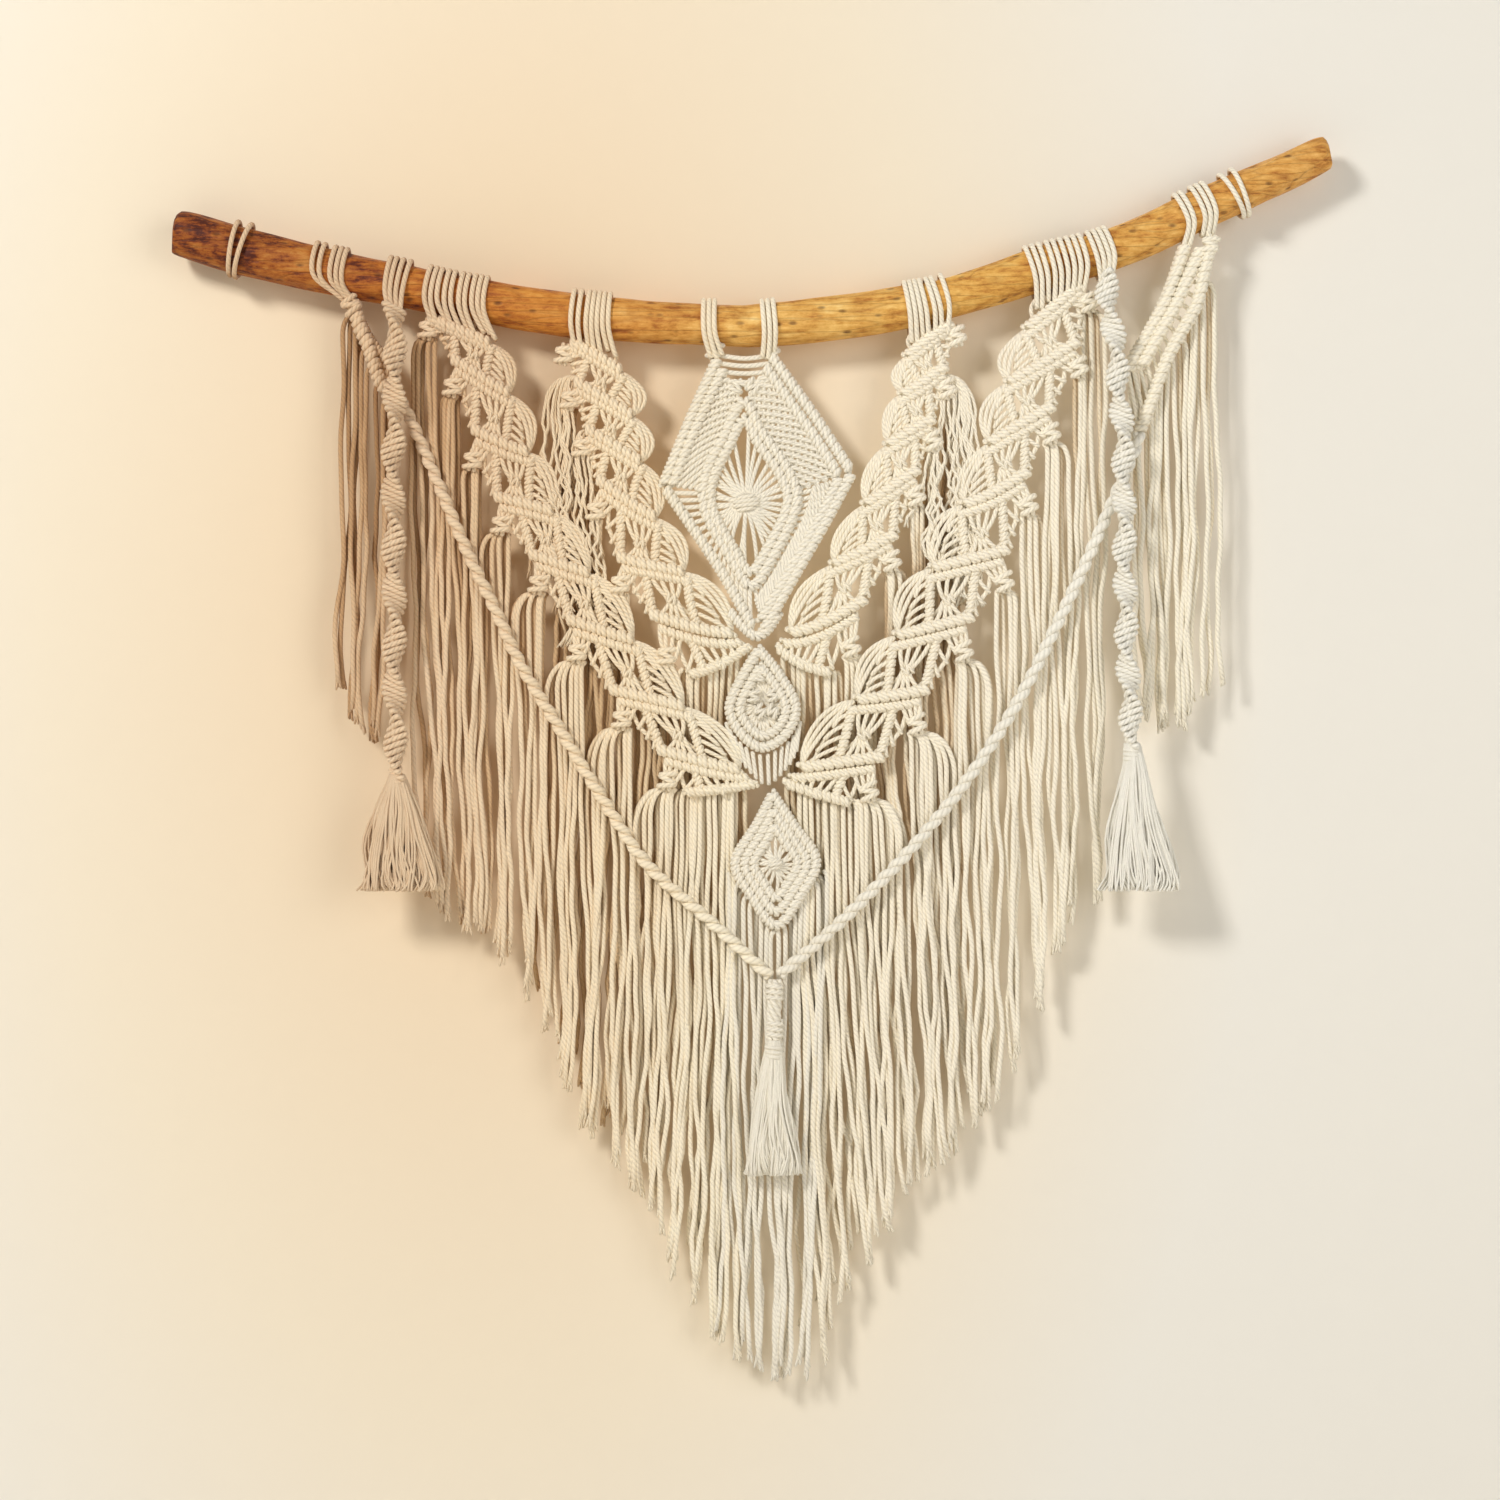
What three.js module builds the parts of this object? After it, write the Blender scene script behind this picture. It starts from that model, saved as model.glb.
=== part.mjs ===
// Macrame wall hanging on a driftwood branch, in millimetres, +Z up.
// The front faces -Y and the wall lies on the +Y side. The origin is the middle of the branch.
// Soft pieces are closed solids of the shape in which the knotted cotton hangs: slanting bands and
// diamonds as openwork slabs with their largest gaps, fringes as combs, spirals and braids as round tubes.
import * as THREE from 'three';

// ---------------------------------------------------------------- driving dimensions

const GAP = 0.3;              // clearance between pieces that touch
const CORD = 4.5;             // thickness of the cotton cord
const KNOTWORK = 9;           // front to back of the knotted bands
const RING_GAP = 0.8;         // clearance of the loops round the uneven branch

// Layers, front to back: the middle Y of each
const LAYER = {
  spiral: -25,
  swag: -11,
  band: -6,
};

const cotton = new THREE.MeshStandardMaterial({ color: 0xeadfc4, roughness: 0.95, metalness: 0 });
const creamCotton = new THREE.MeshStandardMaterial({ color: 0xf0e8d2, roughness: 0.95, metalness: 0 });
const driftwood = new THREE.MeshStandardMaterial({ color: 0xc98c46, roughness: 0.7, metalness: 0 });

const hanging = new THREE.Group();

function add(name, geometry, material) {
  const mesh = new THREE.Mesh(geometry, material);
  mesh.name = name;
  hanging.add(mesh);
}

// ---------------------------------------------------------------- geometry helpers

// Value at t of a table with rising key column, straight between its rows.
function lookUp(table, key, column, t) {
  let row = 0;
  while (row < table.length - 2 && table[row + 1][key] < t) {
    row += 1;
  }
  const low = table[row];
  const high = table[row + 1];
  const share = THREE.MathUtils.clamp((t - low[key]) / (high[key] - low[key]), 0, 1);
  return THREE.MathUtils.lerp(low[column], high[column], share);
}

// Point at share t along the smooth curve through the [xColumn, zColumn] points of a table.
function smoothLine(table, xColumn, zColumn) {
  const points = table.map((row) => new THREE.Vector3(row[xColumn], 0, row[zColumn]));
  return new THREE.CatmullRomCurve3(points, false, 'centripetal');
}

// Closed body from its points and triangles, turned so that its faces point out.
function geometryOf(points, triangles) {
  const corner = (k) => new THREE.Vector3().fromArray(points, 3 * triangles[k]);
  let volume = 0;
  for (let k = 0; k < triangles.length; k += 3) {
    volume += corner(k).dot(corner(k + 1).cross(corner(k + 2))) / 6;
  }
  const geometry = new THREE.BufferGeometry();
  geometry.setAttribute('position', new THREE.Float32BufferAttribute(points, 3));
  geometry.setIndex(volume < 0 ? triangles.slice().reverse() : triangles);
  geometry.computeVertexNormals();
  return geometry;
}

// Closed slab on a grid of columns by rows. place(i, j) gives the middle of the slab at a grid corner as
// {x, y, z, thick}; its front and back lie half of thick before and behind it. isOpen(i, j) leaves a cell
// out, and every edge beside an empty cell or outside the grid gets a wall.
function openwork(columns, rows, place, isOpen) {
  const points = [];
  const triangles = [];
  const across = columns + 1;
  for (let j = 0; j <= rows; j += 1) {
    for (let i = 0; i <= columns; i += 1) {
      const { x, y, z, thick } = place(i, j);
      points.push(x, y - thick / 2, z, x, y + thick / 2, z);
    }
  }
  const front = (i, j) => 2 * (j * across + i);
  const back = (i, j) => front(i, j) + 1;
  const filled = (i, j) => i >= 0 && j >= 0 && i < columns && j < rows && !isOpen(i, j);
  const quad = (a, b, c, d) => triangles.push(a, b, c, a, c, d);
  const wall = (from, to) => quad(back(...from), back(...to), front(...to), front(...from));
  for (let j = 0; j < rows; j += 1) {
    for (let i = 0; i < columns; i += 1) {
      if (!filled(i, j)) {
        continue;
      }
      quad(front(i, j), front(i, j + 1), front(i + 1, j + 1), front(i + 1, j));
      quad(back(i, j), back(i + 1, j), back(i + 1, j + 1), back(i, j + 1));
      if (!filled(i - 1, j)) {
        wall([i, j], [i, j + 1]);
      }
      if (!filled(i, j + 1)) {
        wall([i, j + 1], [i + 1, j + 1]);
      }
      if (!filled(i + 1, j)) {
        wall([i + 1, j + 1], [i + 1, j]);
      }
      if (!filled(i, j - 1)) {
        wall([i + 1, j], [i, j]);
      }
    }
  }
  return geometryOf(points, triangles);
}

// Closed body through rings of equally many points, each end closed by a fan to its middle point.
function loft(rings) {
  const sides = rings[0].length;
  const points = rings.flat().flatMap((p) => [p.x, p.y, p.z]);
  const triangles = [];
  for (let j = 0; j < rings.length - 1; j += 1) {
    for (let i = 0; i < sides; i += 1) {
      const a = j * sides + i;
      const b = j * sides + (i + 1) % sides;
      triangles.push(a, b, b + sides, a, b + sides, a + sides);
    }
  }
  const capEnd = (ring, first, turned) => {
    const middle = ring.reduce((sum, p) => sum.add(p), new THREE.Vector3()).divideScalar(sides);
    const apex = points.length / 3;
    points.push(middle.x, middle.y, middle.z);
    for (let i = 0; i < sides; i += 1) {
      const next = (i + 1) % sides;
      triangles.push(apex, first + (turned ? next : i), first + (turned ? i : next));
    }
  };
  capEnd(rings[0], 0, true);
  capEnd(rings[rings.length - 1], (rings.length - 1) * sides, false);
  return geometryOf(points, triangles);
}

// Ring of points round a centre, in the plane spanned by the unit vectors side and up.
function ringOf(centre, side, up, sideRadius, upRadius, sides) {
  const ring = [];
  for (let i = 0; i < sides; i += 1) {
    const angle = (2 * Math.PI * i) / sides;
    ring.push(
      centre.clone()
        .addScaledVector(side, sideRadius * Math.cos(angle))
        .addScaledVector(up, upRadius * Math.sin(angle)),
    );
  }
  return ring;
}

// Round tube along a smooth curve through the {x, y, z} rows of a route, closed by its flat ends.
function tube(route, diameter, steps, sides) {
  const curve = new THREE.CatmullRomCurve3(route.map(({ x, y, z }) => new THREE.Vector3(x, y, z)));
  const section = new THREE.Shape();
  for (let i = 0; i < sides; i += 1) {
    const angle = (2 * Math.PI * i) / sides;
    const [across, up] = [diameter / 2 * Math.cos(angle), diameter / 2 * Math.sin(angle)];
    if (i === 0) {
      section.moveTo(across, up);
    } else {
      section.lineTo(across, up);
    }
  }
  section.closePath();
  return new THREE.ExtrudeGeometry(section, { steps, extrudePath: curve, bevelEnabled: false });
}

// ---------------------------------------------------------------- branch

// The branch's axis from left to right, with its radius at each row: bowed down in the middle.
const BRANCH = [
  { x: -460, z: 74, radius: 15 },
  { x: -452, z: 72, radius: 18 },
  { x: -408, z: 60, radius: 18.5 },
  { x: -336, z: 42, radius: 18 },
  { x: -280, z: 32, radius: 17.5 },
  { x: -232, z: 22, radius: 16.5 },
  { x: -128, z: 6, radius: 17.5 },
  { x: -24, z: 0, radius: 16.5 },
  { x: 16, z: 0, radius: 17 },
  { x: 120, z: 13, radius: 17.5 },
  { x: 160, z: 22, radius: 16.5 },
  { x: 224, z: 42, radius: 17.5 },
  { x: 288, z: 60, radius: 16 },
  { x: 360, z: 92, radius: 16.5 },
  { x: 416, z: 117, radius: 15.5 },
  { x: 456, z: 136, radius: 14 },
  { x: 463, z: 139, radius: 10 },
];
const BRANCH_SIDES = 12;
const BRANCH_STEPS = 46;

const branchAxis = smoothLine(BRANCH, 'x', 'z');

// Share of the branch's length at which its axis stands at x.
function branchShare(x) {
  let [low, high] = [0, 1];
  for (let halving = 0; halving < 24; halving += 1) {
    const middle = (low + high) / 2;
    if (branchAxis.getPoint(middle).x < x) {
      low = middle;
    } else {
      high = middle;
    }
  }
  return low;
}

// Cross-section of the branch at x, grown by a clearance, square to its axis.
function branchRing(x, clearance) {
  const share = branchShare(x);
  const centre = branchAxis.getPoint(share);
  const along = branchAxis.getTangent(share);
  const up = new THREE.Vector3(-along.z, 0, along.x);
  const toWall = new THREE.Vector3(0, 1, 0);
  const radius = lookUp(BRANCH, 'x', 'radius', x) + clearance;
  return ringOf(centre, up, toWall, radius, radius, BRANCH_SIDES);
}

const branchStart = BRANCH[0].x;
const branchEnd = BRANCH[BRANCH.length - 1].x;
const branchRings = [];
for (let step = 0; step <= BRANCH_STEPS; step += 1) {
  branchRings.push(branchRing(THREE.MathUtils.lerp(branchStart, branchEnd, step / BRANCH_STEPS), 0));
}
add('branch', loft(branchRings), driftwood);

// ---------------------------------------------------------------- loops and wraps on the branch

// Closed sleeve of cord round the branch from left to right, square to its axis at both ends.
function sleeve(left, right) {
  const inner = [left, right].map((x) => branchRing(x, RING_GAP));
  const outer = [left, right].map((x) => branchRing(x, RING_GAP + CORD));
  const rings = [inner[0], outer[0], outer[1], inner[1]];
  const points = rings.flat().flatMap((p) => [p.x, p.y, p.z]);
  const triangles = [];
  const sides = BRANCH_SIDES;
  for (let j = 0; j < rings.length; j += 1) {
    const next = (j + 1) % rings.length;
    for (let i = 0; i < sides; i += 1) {
      const k = (i + 1) % sides;
      const [a, b] = [j * sides + i, j * sides + k];
      const [c, d] = [next * sides + k, next * sides + i];
      triangles.push(a, b, c, a, c, d);
    }
  }
  return geometryOf(points, triangles);
}

// The loops' places along the branch.
const LOOPS = [
  { name: 'hang_wrap_left', left: -415, right: -401 },
  { name: 'loop_head_left', left: -352, right: -326 },
  { name: 'loop_spiral_left', left: -291, right: -274 },
  { name: 'loop_outer_left', left: -260, right: -212 },
  { name: 'loop_inner_left', left: -144, right: -108 },
  { name: 'loop_panel_left', left: -38, right: -29 },
  { name: 'loop_panel_right', left: 10, right: 19 },
  { name: 'loop_inner_right', left: 124, right: 162 },
  { name: 'loop_outer_right', left: 224, right: 270 },
  { name: 'loop_spiral_right', left: 273, right: 289 },
  { name: 'loop_head_right', left: 346, right: 370 },
  { name: 'hang_wrap_right', left: 382, right: 396 },
];
for (const { name, left, right } of LOOPS) {
  add(name, sleeve(left, right), cotton);
}


// Height of the underside of the loops at x and depth y, less the clearance.
function underLoop(x, y) {
  const share = branchShare(x);
  const along = branchAxis.getTangent(share);
  const radius = lookUp(BRANCH, 'x', 'radius', x) + RING_GAP + CORD + GAP;
  return branchAxis.getPoint(share).z - Math.sqrt(radius * radius - y * y) / along.x;
}

// ---------------------------------------------------------------- knotted bands and diamonds

const BACK = LAYER.band + KNOTWORK / 2;     // the flat back of the knotted work

// Openwork strip between a left and a right edge, each a smooth line down the rows of a table. The columns
// stand at the given shares of its width, and steps rows lie between two rows of the table. holes lists the
// empty cells as [column, row], and bulge swells the right edge once for every row of the table.
function strip(table, columnShares, steps, holes, bulge) {
  const left = smoothLine(table, 'leftX', 'leftZ');
  const right = smoothLine(table, 'rightX', 'rightZ');
  const columns = columnShares.length - 1;
  const rows = (table.length - 1) * steps;
  const place = (i, j) => {
    const down = j / rows;
    const across = columnShares[i];
    const from = left.getPoint(down);
    const to = right.getPoint(down);
    const swell = bulge * across * Math.abs(Math.sin(Math.PI * down * (table.length - 1)));
    const thick = KNOTWORK * (0.72 + 0.28 * Math.sin(Math.PI * across));
    const point = from.lerp(to, across);
    return { x: point.x + swell, y: BACK - thick / 2, z: point.z, thick };
  };
  return openwork(columns, rows, place, (i, j) => holes.some(([column, row]) => column === i && row === j));
}

const underBand = (x) => underLoop(x, BACK);

// Edges of the bands from the branch down, a row for each lattice cell.
const OUTER_BAND_LEFT = [
  { leftX: -257, leftZ: underBand(-257), rightX: -214, rightZ: underBand(-214) },
  { leftX: -238, leftZ: -28, rightX: -202, rightZ: -26 },
  { leftX: -222, leftZ: -84, rightX: -186, rightZ: -72 },
  { leftX: -204, leftZ: -138, rightX: -170, rightZ: -118 },
  { leftX: -176, leftZ: -184, rightX: -148, rightZ: -166 },
  { leftX: -146, leftZ: -236, rightX: -116, rightZ: -216 },
  { leftX: -112, leftZ: -292, rightX: -80, rightZ: -270 },
  { leftX: -74, leftZ: -340, rightX: -38, rightZ: -322 },
  { leftX: -42, leftZ: -386, rightX: 4, rightZ: -367 },
];
const INNER_BAND_LEFT = [
  { leftX: -143, leftZ: underBand(-143), rightX: -109, rightZ: underBand(-109) },
  { leftX: -140, leftZ: -46, rightX: -98, rightZ: -50 },
  { leftX: -131, leftZ: -84, rightX: -91, rightZ: -86 },
  { leftX: -122, leftZ: -124, rightX: -83, rightZ: -124 },
  { leftX: -106, leftZ: -186, rightX: -68, rightZ: -170 },
  { leftX: -80, leftZ: -232, rightX: -42, rightZ: -212 },
  { leftX: -34, leftZ: -298, rightX: -2, rightZ: -258 },
];
const INNER_BAND_RIGHT = [
  { leftX: 126, leftZ: underBand(126), rightX: 161, rightZ: underBand(161) },
  { leftX: 124, leftZ: -36, rightX: 156, rightZ: -34 },
  { leftX: 118, leftZ: -68, rightX: 146, rightZ: -76 },
  { leftX: 104, leftZ: -112, rightX: 134, rightZ: -116 },
  { leftX: 84, leftZ: -160, rightX: 116, rightZ: -168 },
  { leftX: 56, leftZ: -208, rightX: 92, rightZ: -220 },
  { leftX: 22, leftZ: -259, rightX: 52, rightZ: -300 },
];
const OUTER_BAND_RIGHT = [
  { leftX: 226, leftZ: underBand(226), rightX: 264, rightZ: underBand(264) },
  { leftX: 216, leftZ: -18, rightX: 262, rightZ: -14 },
  { leftX: 200, leftZ: -62, rightX: 242, rightZ: -66 },
  { leftX: 184, leftZ: -112, rightX: 222, rightZ: -118 },
  { leftX: 162, leftZ: -160, rightX: 206, rightZ: -180 },
  { leftX: 136, leftZ: -212, rightX: 178, rightZ: -234 },
  { leftX: 106, leftZ: -266, rightX: 142, rightZ: -292 },
  { leftX: 72, leftZ: -316, rightX: 106, rightZ: -346 },
  { leftX: 28, leftZ: -367, rightX: 68, rightZ: -394 },
];
const BAND_COLUMNS = [0, 0.38, 0.6, 1];
const BAND_STEPS = 3;

// One gap in the middle of every lattice cell from the first whole one to the last.
const cellGaps = (table) => table.slice(1, -1).map((row, cell) => [1, BAND_STEPS * cell + BAND_STEPS + 1]);

for (const [name, table] of [
  ['outer_band_left', OUTER_BAND_LEFT],
  ['inner_band_left', INNER_BAND_LEFT],
  ['inner_band_right', INNER_BAND_RIGHT],
  ['outer_band_right', OUTER_BAND_RIGHT],
]) {
  add(name, strip(table, BAND_COLUMNS, BAND_STEPS, cellGaps(table), 2), cotton);
}

// Edges of the bands at the two ends, which go on as the swags.
const HEAD_BAND_LEFT = [
  { leftX: -338, leftZ: underBand(-338), rightX: -320, rightZ: underBand(-320) - 1 },
  { leftX: -324, leftZ: -6, rightX: -306, rightZ: 2 },
  { leftX: -314, leftZ: -32, rightX: -296, rightZ: -20 },
  { leftX: -296, leftZ: -56, rightX: -283, rightZ: -42 },
  { leftX: -284, leftZ: -67, rightX: -275, rightZ: -56 },
];
const HEAD_BAND_RIGHT = [
  { leftX: 347, leftZ: underBand(347), rightX: 370, rightZ: underBand(370) },
  { leftX: 332, leftZ: 26, rightX: 362, rightZ: 26 },
  { leftX: 316, leftZ: 2, rightX: 345, rightZ: -10 },
  { leftX: 303, leftZ: -20, rightX: 330, rightZ: -42 },
  { leftX: 305, leftZ: -50, rightX: 320, rightZ: -72 },
  { leftX: 306, leftZ: -84, rightX: 315, rightZ: -88 },
];
const HEAD_COLUMNS = [0, 0.5, 1];
add('head_band_left', strip(HEAD_BAND_LEFT, HEAD_COLUMNS, 2, [], 2), cotton);
add('head_band_right', strip(HEAD_BAND_RIGHT, HEAD_COLUMNS, 2, [], 0), cotton);

// The three diamonds, row by row from the top. The large one hangs from its two loops, and each of the
// others hangs from the point of the one above. Their holes are the spaces between the fans of cord.
const DIAMOND_PANEL = [
  { leftX: -37, leftZ: underBand(-37), rightX: 20, rightZ: underBand(20) },
  { leftX: -52, leftZ: -64, rightX: 48, rightZ: -62 },
  { leftX: -67, leftZ: -101, rightX: 68, rightZ: -90 },
  { leftX: -75, leftZ: -131, rightX: 88, rightZ: -118 },
  { leftX: -56, leftZ: -164, rightX: 66, rightZ: -164 },
  { leftX: -34, leftZ: -194, rightX: 46, rightZ: -196 },
  { leftX: -14, leftZ: -222, rightX: 28, rightZ: -222 },
  { leftX: 2, leftZ: -252, rightX: 14, rightZ: -252 },
];
const PANEL_COLUMNS = [0, 0.14, 0.28, 0.4, 0.48, 0.56, 0.68, 0.82, 1];
const PANEL_HOLES = [
  [3, 4], [5, 4],
  [3, 5], [5, 5],
  [2, 7], [6, 7],
  [3, 10], [5, 10],
  [3, 11],
];
const DIAMOND_SMALL = [
  { leftX: 3, leftZ: -252.4, rightX: 15, rightZ: -252.4 },
  { leftX: -12, leftZ: -282, rightX: 30, rightZ: -282 },
  { leftX: -19, leftZ: -302, rightX: 39, rightZ: -302 },
  { leftX: -9, leftZ: -324, rightX: 32, rightZ: -324 },
  { leftX: 5, leftZ: -344, rightX: 20, rightZ: -344 },
  { leftX: 8, leftZ: -366, rightX: 18, rightZ: -366 },
];
const DIAMOND_LOWER = [
  { leftX: 9, leftZ: -366.4, rightX: 22, rightZ: -366.4 },
  { leftX: -6, leftZ: -402, rightX: 42, rightZ: -402 },
  { leftX: -16, leftZ: -434, rightX: 57, rightZ: -432 },
  { leftX: -6, leftZ: -460, rightX: 44, rightZ: -458 },
  { leftX: 16, leftZ: -486, rightX: 24, rightZ: -486 },
];
const DIAMOND_COLUMNS = [0, 0.22, 0.4, 0.6, 0.78, 1];
const SMALL_HOLES = [[1, 3], [3, 3]];
const LOWER_HOLES = [[1, 3], [3, 3], [1, 5], [3, 5]];
add('diamond_panel', strip(DIAMOND_PANEL, PANEL_COLUMNS, 2, PANEL_HOLES, 0), creamCotton);
add('diamond_small', strip(DIAMOND_SMALL, DIAMOND_COLUMNS, 2, SMALL_HOLES, 0), creamCotton);
add('diamond_lower', strip(DIAMOND_LOWER, DIAMOND_COLUMNS, 2, LOWER_HOLES, 0), creamCotton);

// ---------------------------------------------------------------- fringes

const FRINGE_GAP = 2.5;       // between two teeth
const HEADER = 7;             // height of the strip that joins the teeth
const TUCK = 4;               // how far the header reaches up behind the knotted edge
const DROPS = [0, 0.12, 0.3, 0.62, 1];   // where the teeth bend, as shares of their length
const RAGGED = 7;             // how far the teeth end above or below the line of the tips
const SWAY = 0.8;             // how far a tooth hangs off its line

// Comb of teeth, each the width of two or three cords, hanging from a header behind a knotted edge.
// header gives the edge's height over x, and tips the height at which the teeth end. wide lists the places
// where the cords part below the knots. The layer moves from y to lowY as the teeth fall.
function comb({ header, tips, teeth, wide, y, lowY }) {
  const [topStart, topEnd] = [header[0].x, header[header.length - 1].x];
  const [tipStart, tipEnd] = [tips[0].x, tips[tips.length - 1].x];
  const gaps = [];
  for (let k = 1; k < teeth; k += 1) {
    gaps.push({ x: THREE.MathUtils.lerp(topStart, topEnd, k / teeth), width: FRINGE_GAP });
  }
  for (const place of wide) {
    const near = gaps.reduce((a, b) => (Math.abs(b.x - place.x) < Math.abs(a.x - place.x) ? b : a));
    Object.assign(near, place);
  }
  // Edges of the teeth from left to right at the top and at the tips.
  const topEdges = [topStart, ...gaps.flatMap(({ x, width }) => [x - width / 2, x + width / 2]), topEnd];
  const closed = [topStart, ...gaps.flatMap(({ x }) => [x - FRINGE_GAP / 2, x + FRINGE_GAP / 2]), topEnd];
  const tipEdges = [tipStart];
  for (let k = 1; k < teeth; k += 1) {
    const middle = THREE.MathUtils.lerp(tipStart, tipEnd, k / teeth);
    tipEdges.push(middle - FRINGE_GAP / 2, middle + FRINGE_GAP / 2);
  }
  tipEdges.push(tipEnd);
  const columns = 2 * teeth - 1;
  const rows = DROPS.length;
  const place = (i, j) => {
    const knotted = lookUp(header, 'x', 'z', topEdges[i]);
    if (j === 0) {
      return { x: topEdges[i], y, z: knotted + TUCK, thick: CORD };
    }
    const drop = DROPS[j - 1];
    const tooth = Math.floor(i / 2);
    const middleTip = (tipEdges[2 * tooth] + tipEdges[2 * tooth + 1]) / 2;
    const tip = lookUp(tips, 'x', 'z', middleTip) + RAGGED * Math.sin(2.4 * tooth + 1);
    // A wide place closes to a plain gap between the second and the third row of the teeth.
    const narrowed = THREE.MathUtils.smoothstep(drop, DROPS[1], DROPS[2]);
    const hung = THREE.MathUtils.lerp(topEdges[i], closed[i], narrowed);
    const sway = SWAY * Math.sin(5 * drop) * Math.sin(1.3 * tooth);
    return {
      x: THREE.MathUtils.lerp(hung, tipEdges[i], drop * drop) + sway,
      y: THREE.MathUtils.lerp(y, lowY, Math.min(drop / DROPS[1], 1)),
      z: THREE.MathUtils.lerp(knotted + TUCK - HEADER, tip, drop),
      thick: CORD,
    };
  };
  return openwork(columns, rows, place, (i, j) => j > 0 && i % 2 === 1);
}

const DRAPE_GAP = 2;          // clearance between hanging layers
const FRINGE_Y = BACK + GAP + CORD / 2;
const INNER_FRINGE_Y = FRINGE_Y + CORD + DRAPE_GAP;

add('outer_fringe_left', comb({
  header: [
    { x: -262, z: -8 },
    { x: -240, z: -30 },
    { x: -222, z: -88 },
    { x: -204, z: -140 },
    { x: -176, z: -186 },
    { x: -146, z: -238 },
    { x: -112, z: -294 },
    { x: -74, z: -342 },
    { x: -42, z: -388 },
    { x: -19, z: -402 },
  ],
  tips: [
    { x: -256, z: -440 },
    { x: -230, z: -469 },
    { x: -184, z: -516 },
    { x: -135, z: -620 },
    { x: -79, z: -694 },
    { x: -54, z: -764 },
    { x: -18, z: -828 },
  ],
  teeth: 17,
  wide: [
    { x: -246, width: 9 },
    { x: -222, width: 8 },
    { x: -174, width: 8 },
    { x: -144, width: 11 },
    { x: -104, width: 8 },
  ],
  y: FRINGE_Y,
  lowY: FRINGE_Y,
}), cotton);

add('outer_fringe_right', comb({
  header: [
    { x: 60, z: -402 },
    { x: 80, z: -384 },
    { x: 106, z: -350 },
    { x: 142, z: -296 },
    { x: 178, z: -238 },
    { x: 206, z: -184 },
    { x: 222, z: -122 },
    { x: 242, z: -70 },
    { x: 262, z: -16 },
    { x: 268, z: 20 },
    { x: 283, z: 22 },
  ],
  tips: [
    { x: 51, z: -832 },
    { x: 78, z: -766 },
    { x: 124, z: -700 },
    { x: 182, z: -623 },
    { x: 210, z: -582 },
    { x: 251, z: -483 },
    { x: 276, z: -462 },
  ],
  teeth: 16,
  wide: [
    { x: 98, width: 8 },
    { x: 136, width: 8 },
    { x: 173, width: 12 },
    { x: 201, width: 8 },
    { x: 246, width: 9 },
  ],
  y: FRINGE_Y,
  lowY: FRINGE_Y,
}), cotton);

add('inner_fringe_left', comb({
  header: [
    { x: -146, z: -46 },
    { x: -132, z: -88 },
    { x: -122, z: -126 },
    { x: -106, z: -188 },
    { x: -80, z: -234 },
    { x: -36, z: -298 },
  ],
  tips: [
    { x: -163, z: -548 },
    { x: -135, z: -590 },
    { x: -79, z: -664 },
    { x: -22, z: -790 },
  ],
  teeth: 8,
  wide: [
    { x: -126, width: 9 },
    { x: -96, width: 7 },
    { x: -62, width: 7 },
  ],
  y: FRINGE_Y,
  lowY: INNER_FRINGE_Y,
}), cotton);

add('inner_fringe_right', comb({
  header: [
    { x: 50, z: -301 },
    { x: 92, z: -222 },
    { x: 116, z: -170 },
    { x: 134, z: -118 },
    { x: 146, z: -78 },
    { x: 160, z: -44 },
  ],
  tips: [
    { x: 47, z: -800 },
    { x: 78, z: -736 },
    { x: 124, z: -668 },
    { x: 184, z: -592 },
  ],
  teeth: 8,
  wide: [
    { x: 78, width: 7 },
    { x: 108, width: 7 },
    { x: 138, width: 9 },
  ],
  y: FRINGE_Y,
  lowY: INNER_FRINGE_Y,
}), cotton);

add('centre_fringe', comb({
  header: [
    { x: -16, z: -438 },
    { x: 0, z: -466 },
    { x: 20, z: -486 },
    { x: 40, z: -464 },
    { x: 57, z: -434 },
  ],
  tips: [
    { x: -15, z: -832 },
    { x: 16, z: -838 },
    { x: 48, z: -834 },
  ],
  teeth: 5,
  wide: [],
  y: FRINGE_Y,
  lowY: FRINGE_Y,
}), creamCotton);

add('end_fringe_left', comb({
  header: [
    { x: -330, z: 4 },
    { x: -322, z: -8 },
    { x: -312, z: -34 },
    { x: -296, z: -57 },
    { x: -280, z: -68 },
  ],
  tips: [
    { x: -334, z: -300 },
    { x: -318, z: -322 },
    { x: -286, z: -334 },
  ],
  teeth: 4,
  wide: [],
  y: FRINGE_Y,
  lowY: FRINGE_Y,
}), cotton);

add('end_fringe_right', comb({
  header: [
    { x: 312, z: -88 },
    { x: 320, z: -70 },
    { x: 330, z: -44 },
    { x: 345, z: -12 },
    { x: 362, z: 24 },
    { x: 370, z: 34 },
  ],
  tips: [
    { x: 312, z: -306 },
    { x: 338, z: -318 },
    { x: 358, z: -290 },
    { x: 371, z: -284 },
  ],
  teeth: 5,
  wide: [],
  y: FRINGE_Y,
  lowY: FRINGE_Y,
}), cotton);

// ---------------------------------------------------------------- hanging spirals and their tassels

const SPIRAL_THICK = 19;
const TASSEL_SIDES = 12;

// Tassel of brushed-out cord: rings from its tied neck to its hem, each half as deep as it is wide.
function tassel(table) {
  const toRight = new THREE.Vector3(1, 0, 0);
  const toWall = new THREE.Vector3(0, 1, 0);
  return loft(table.map(({ x, y, z, width, depth }) => (
    ringOf(new THREE.Vector3(x, y, z), toRight, toWall, width / 2, depth / 2, TASSEL_SIDES)
  )));
}

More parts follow.
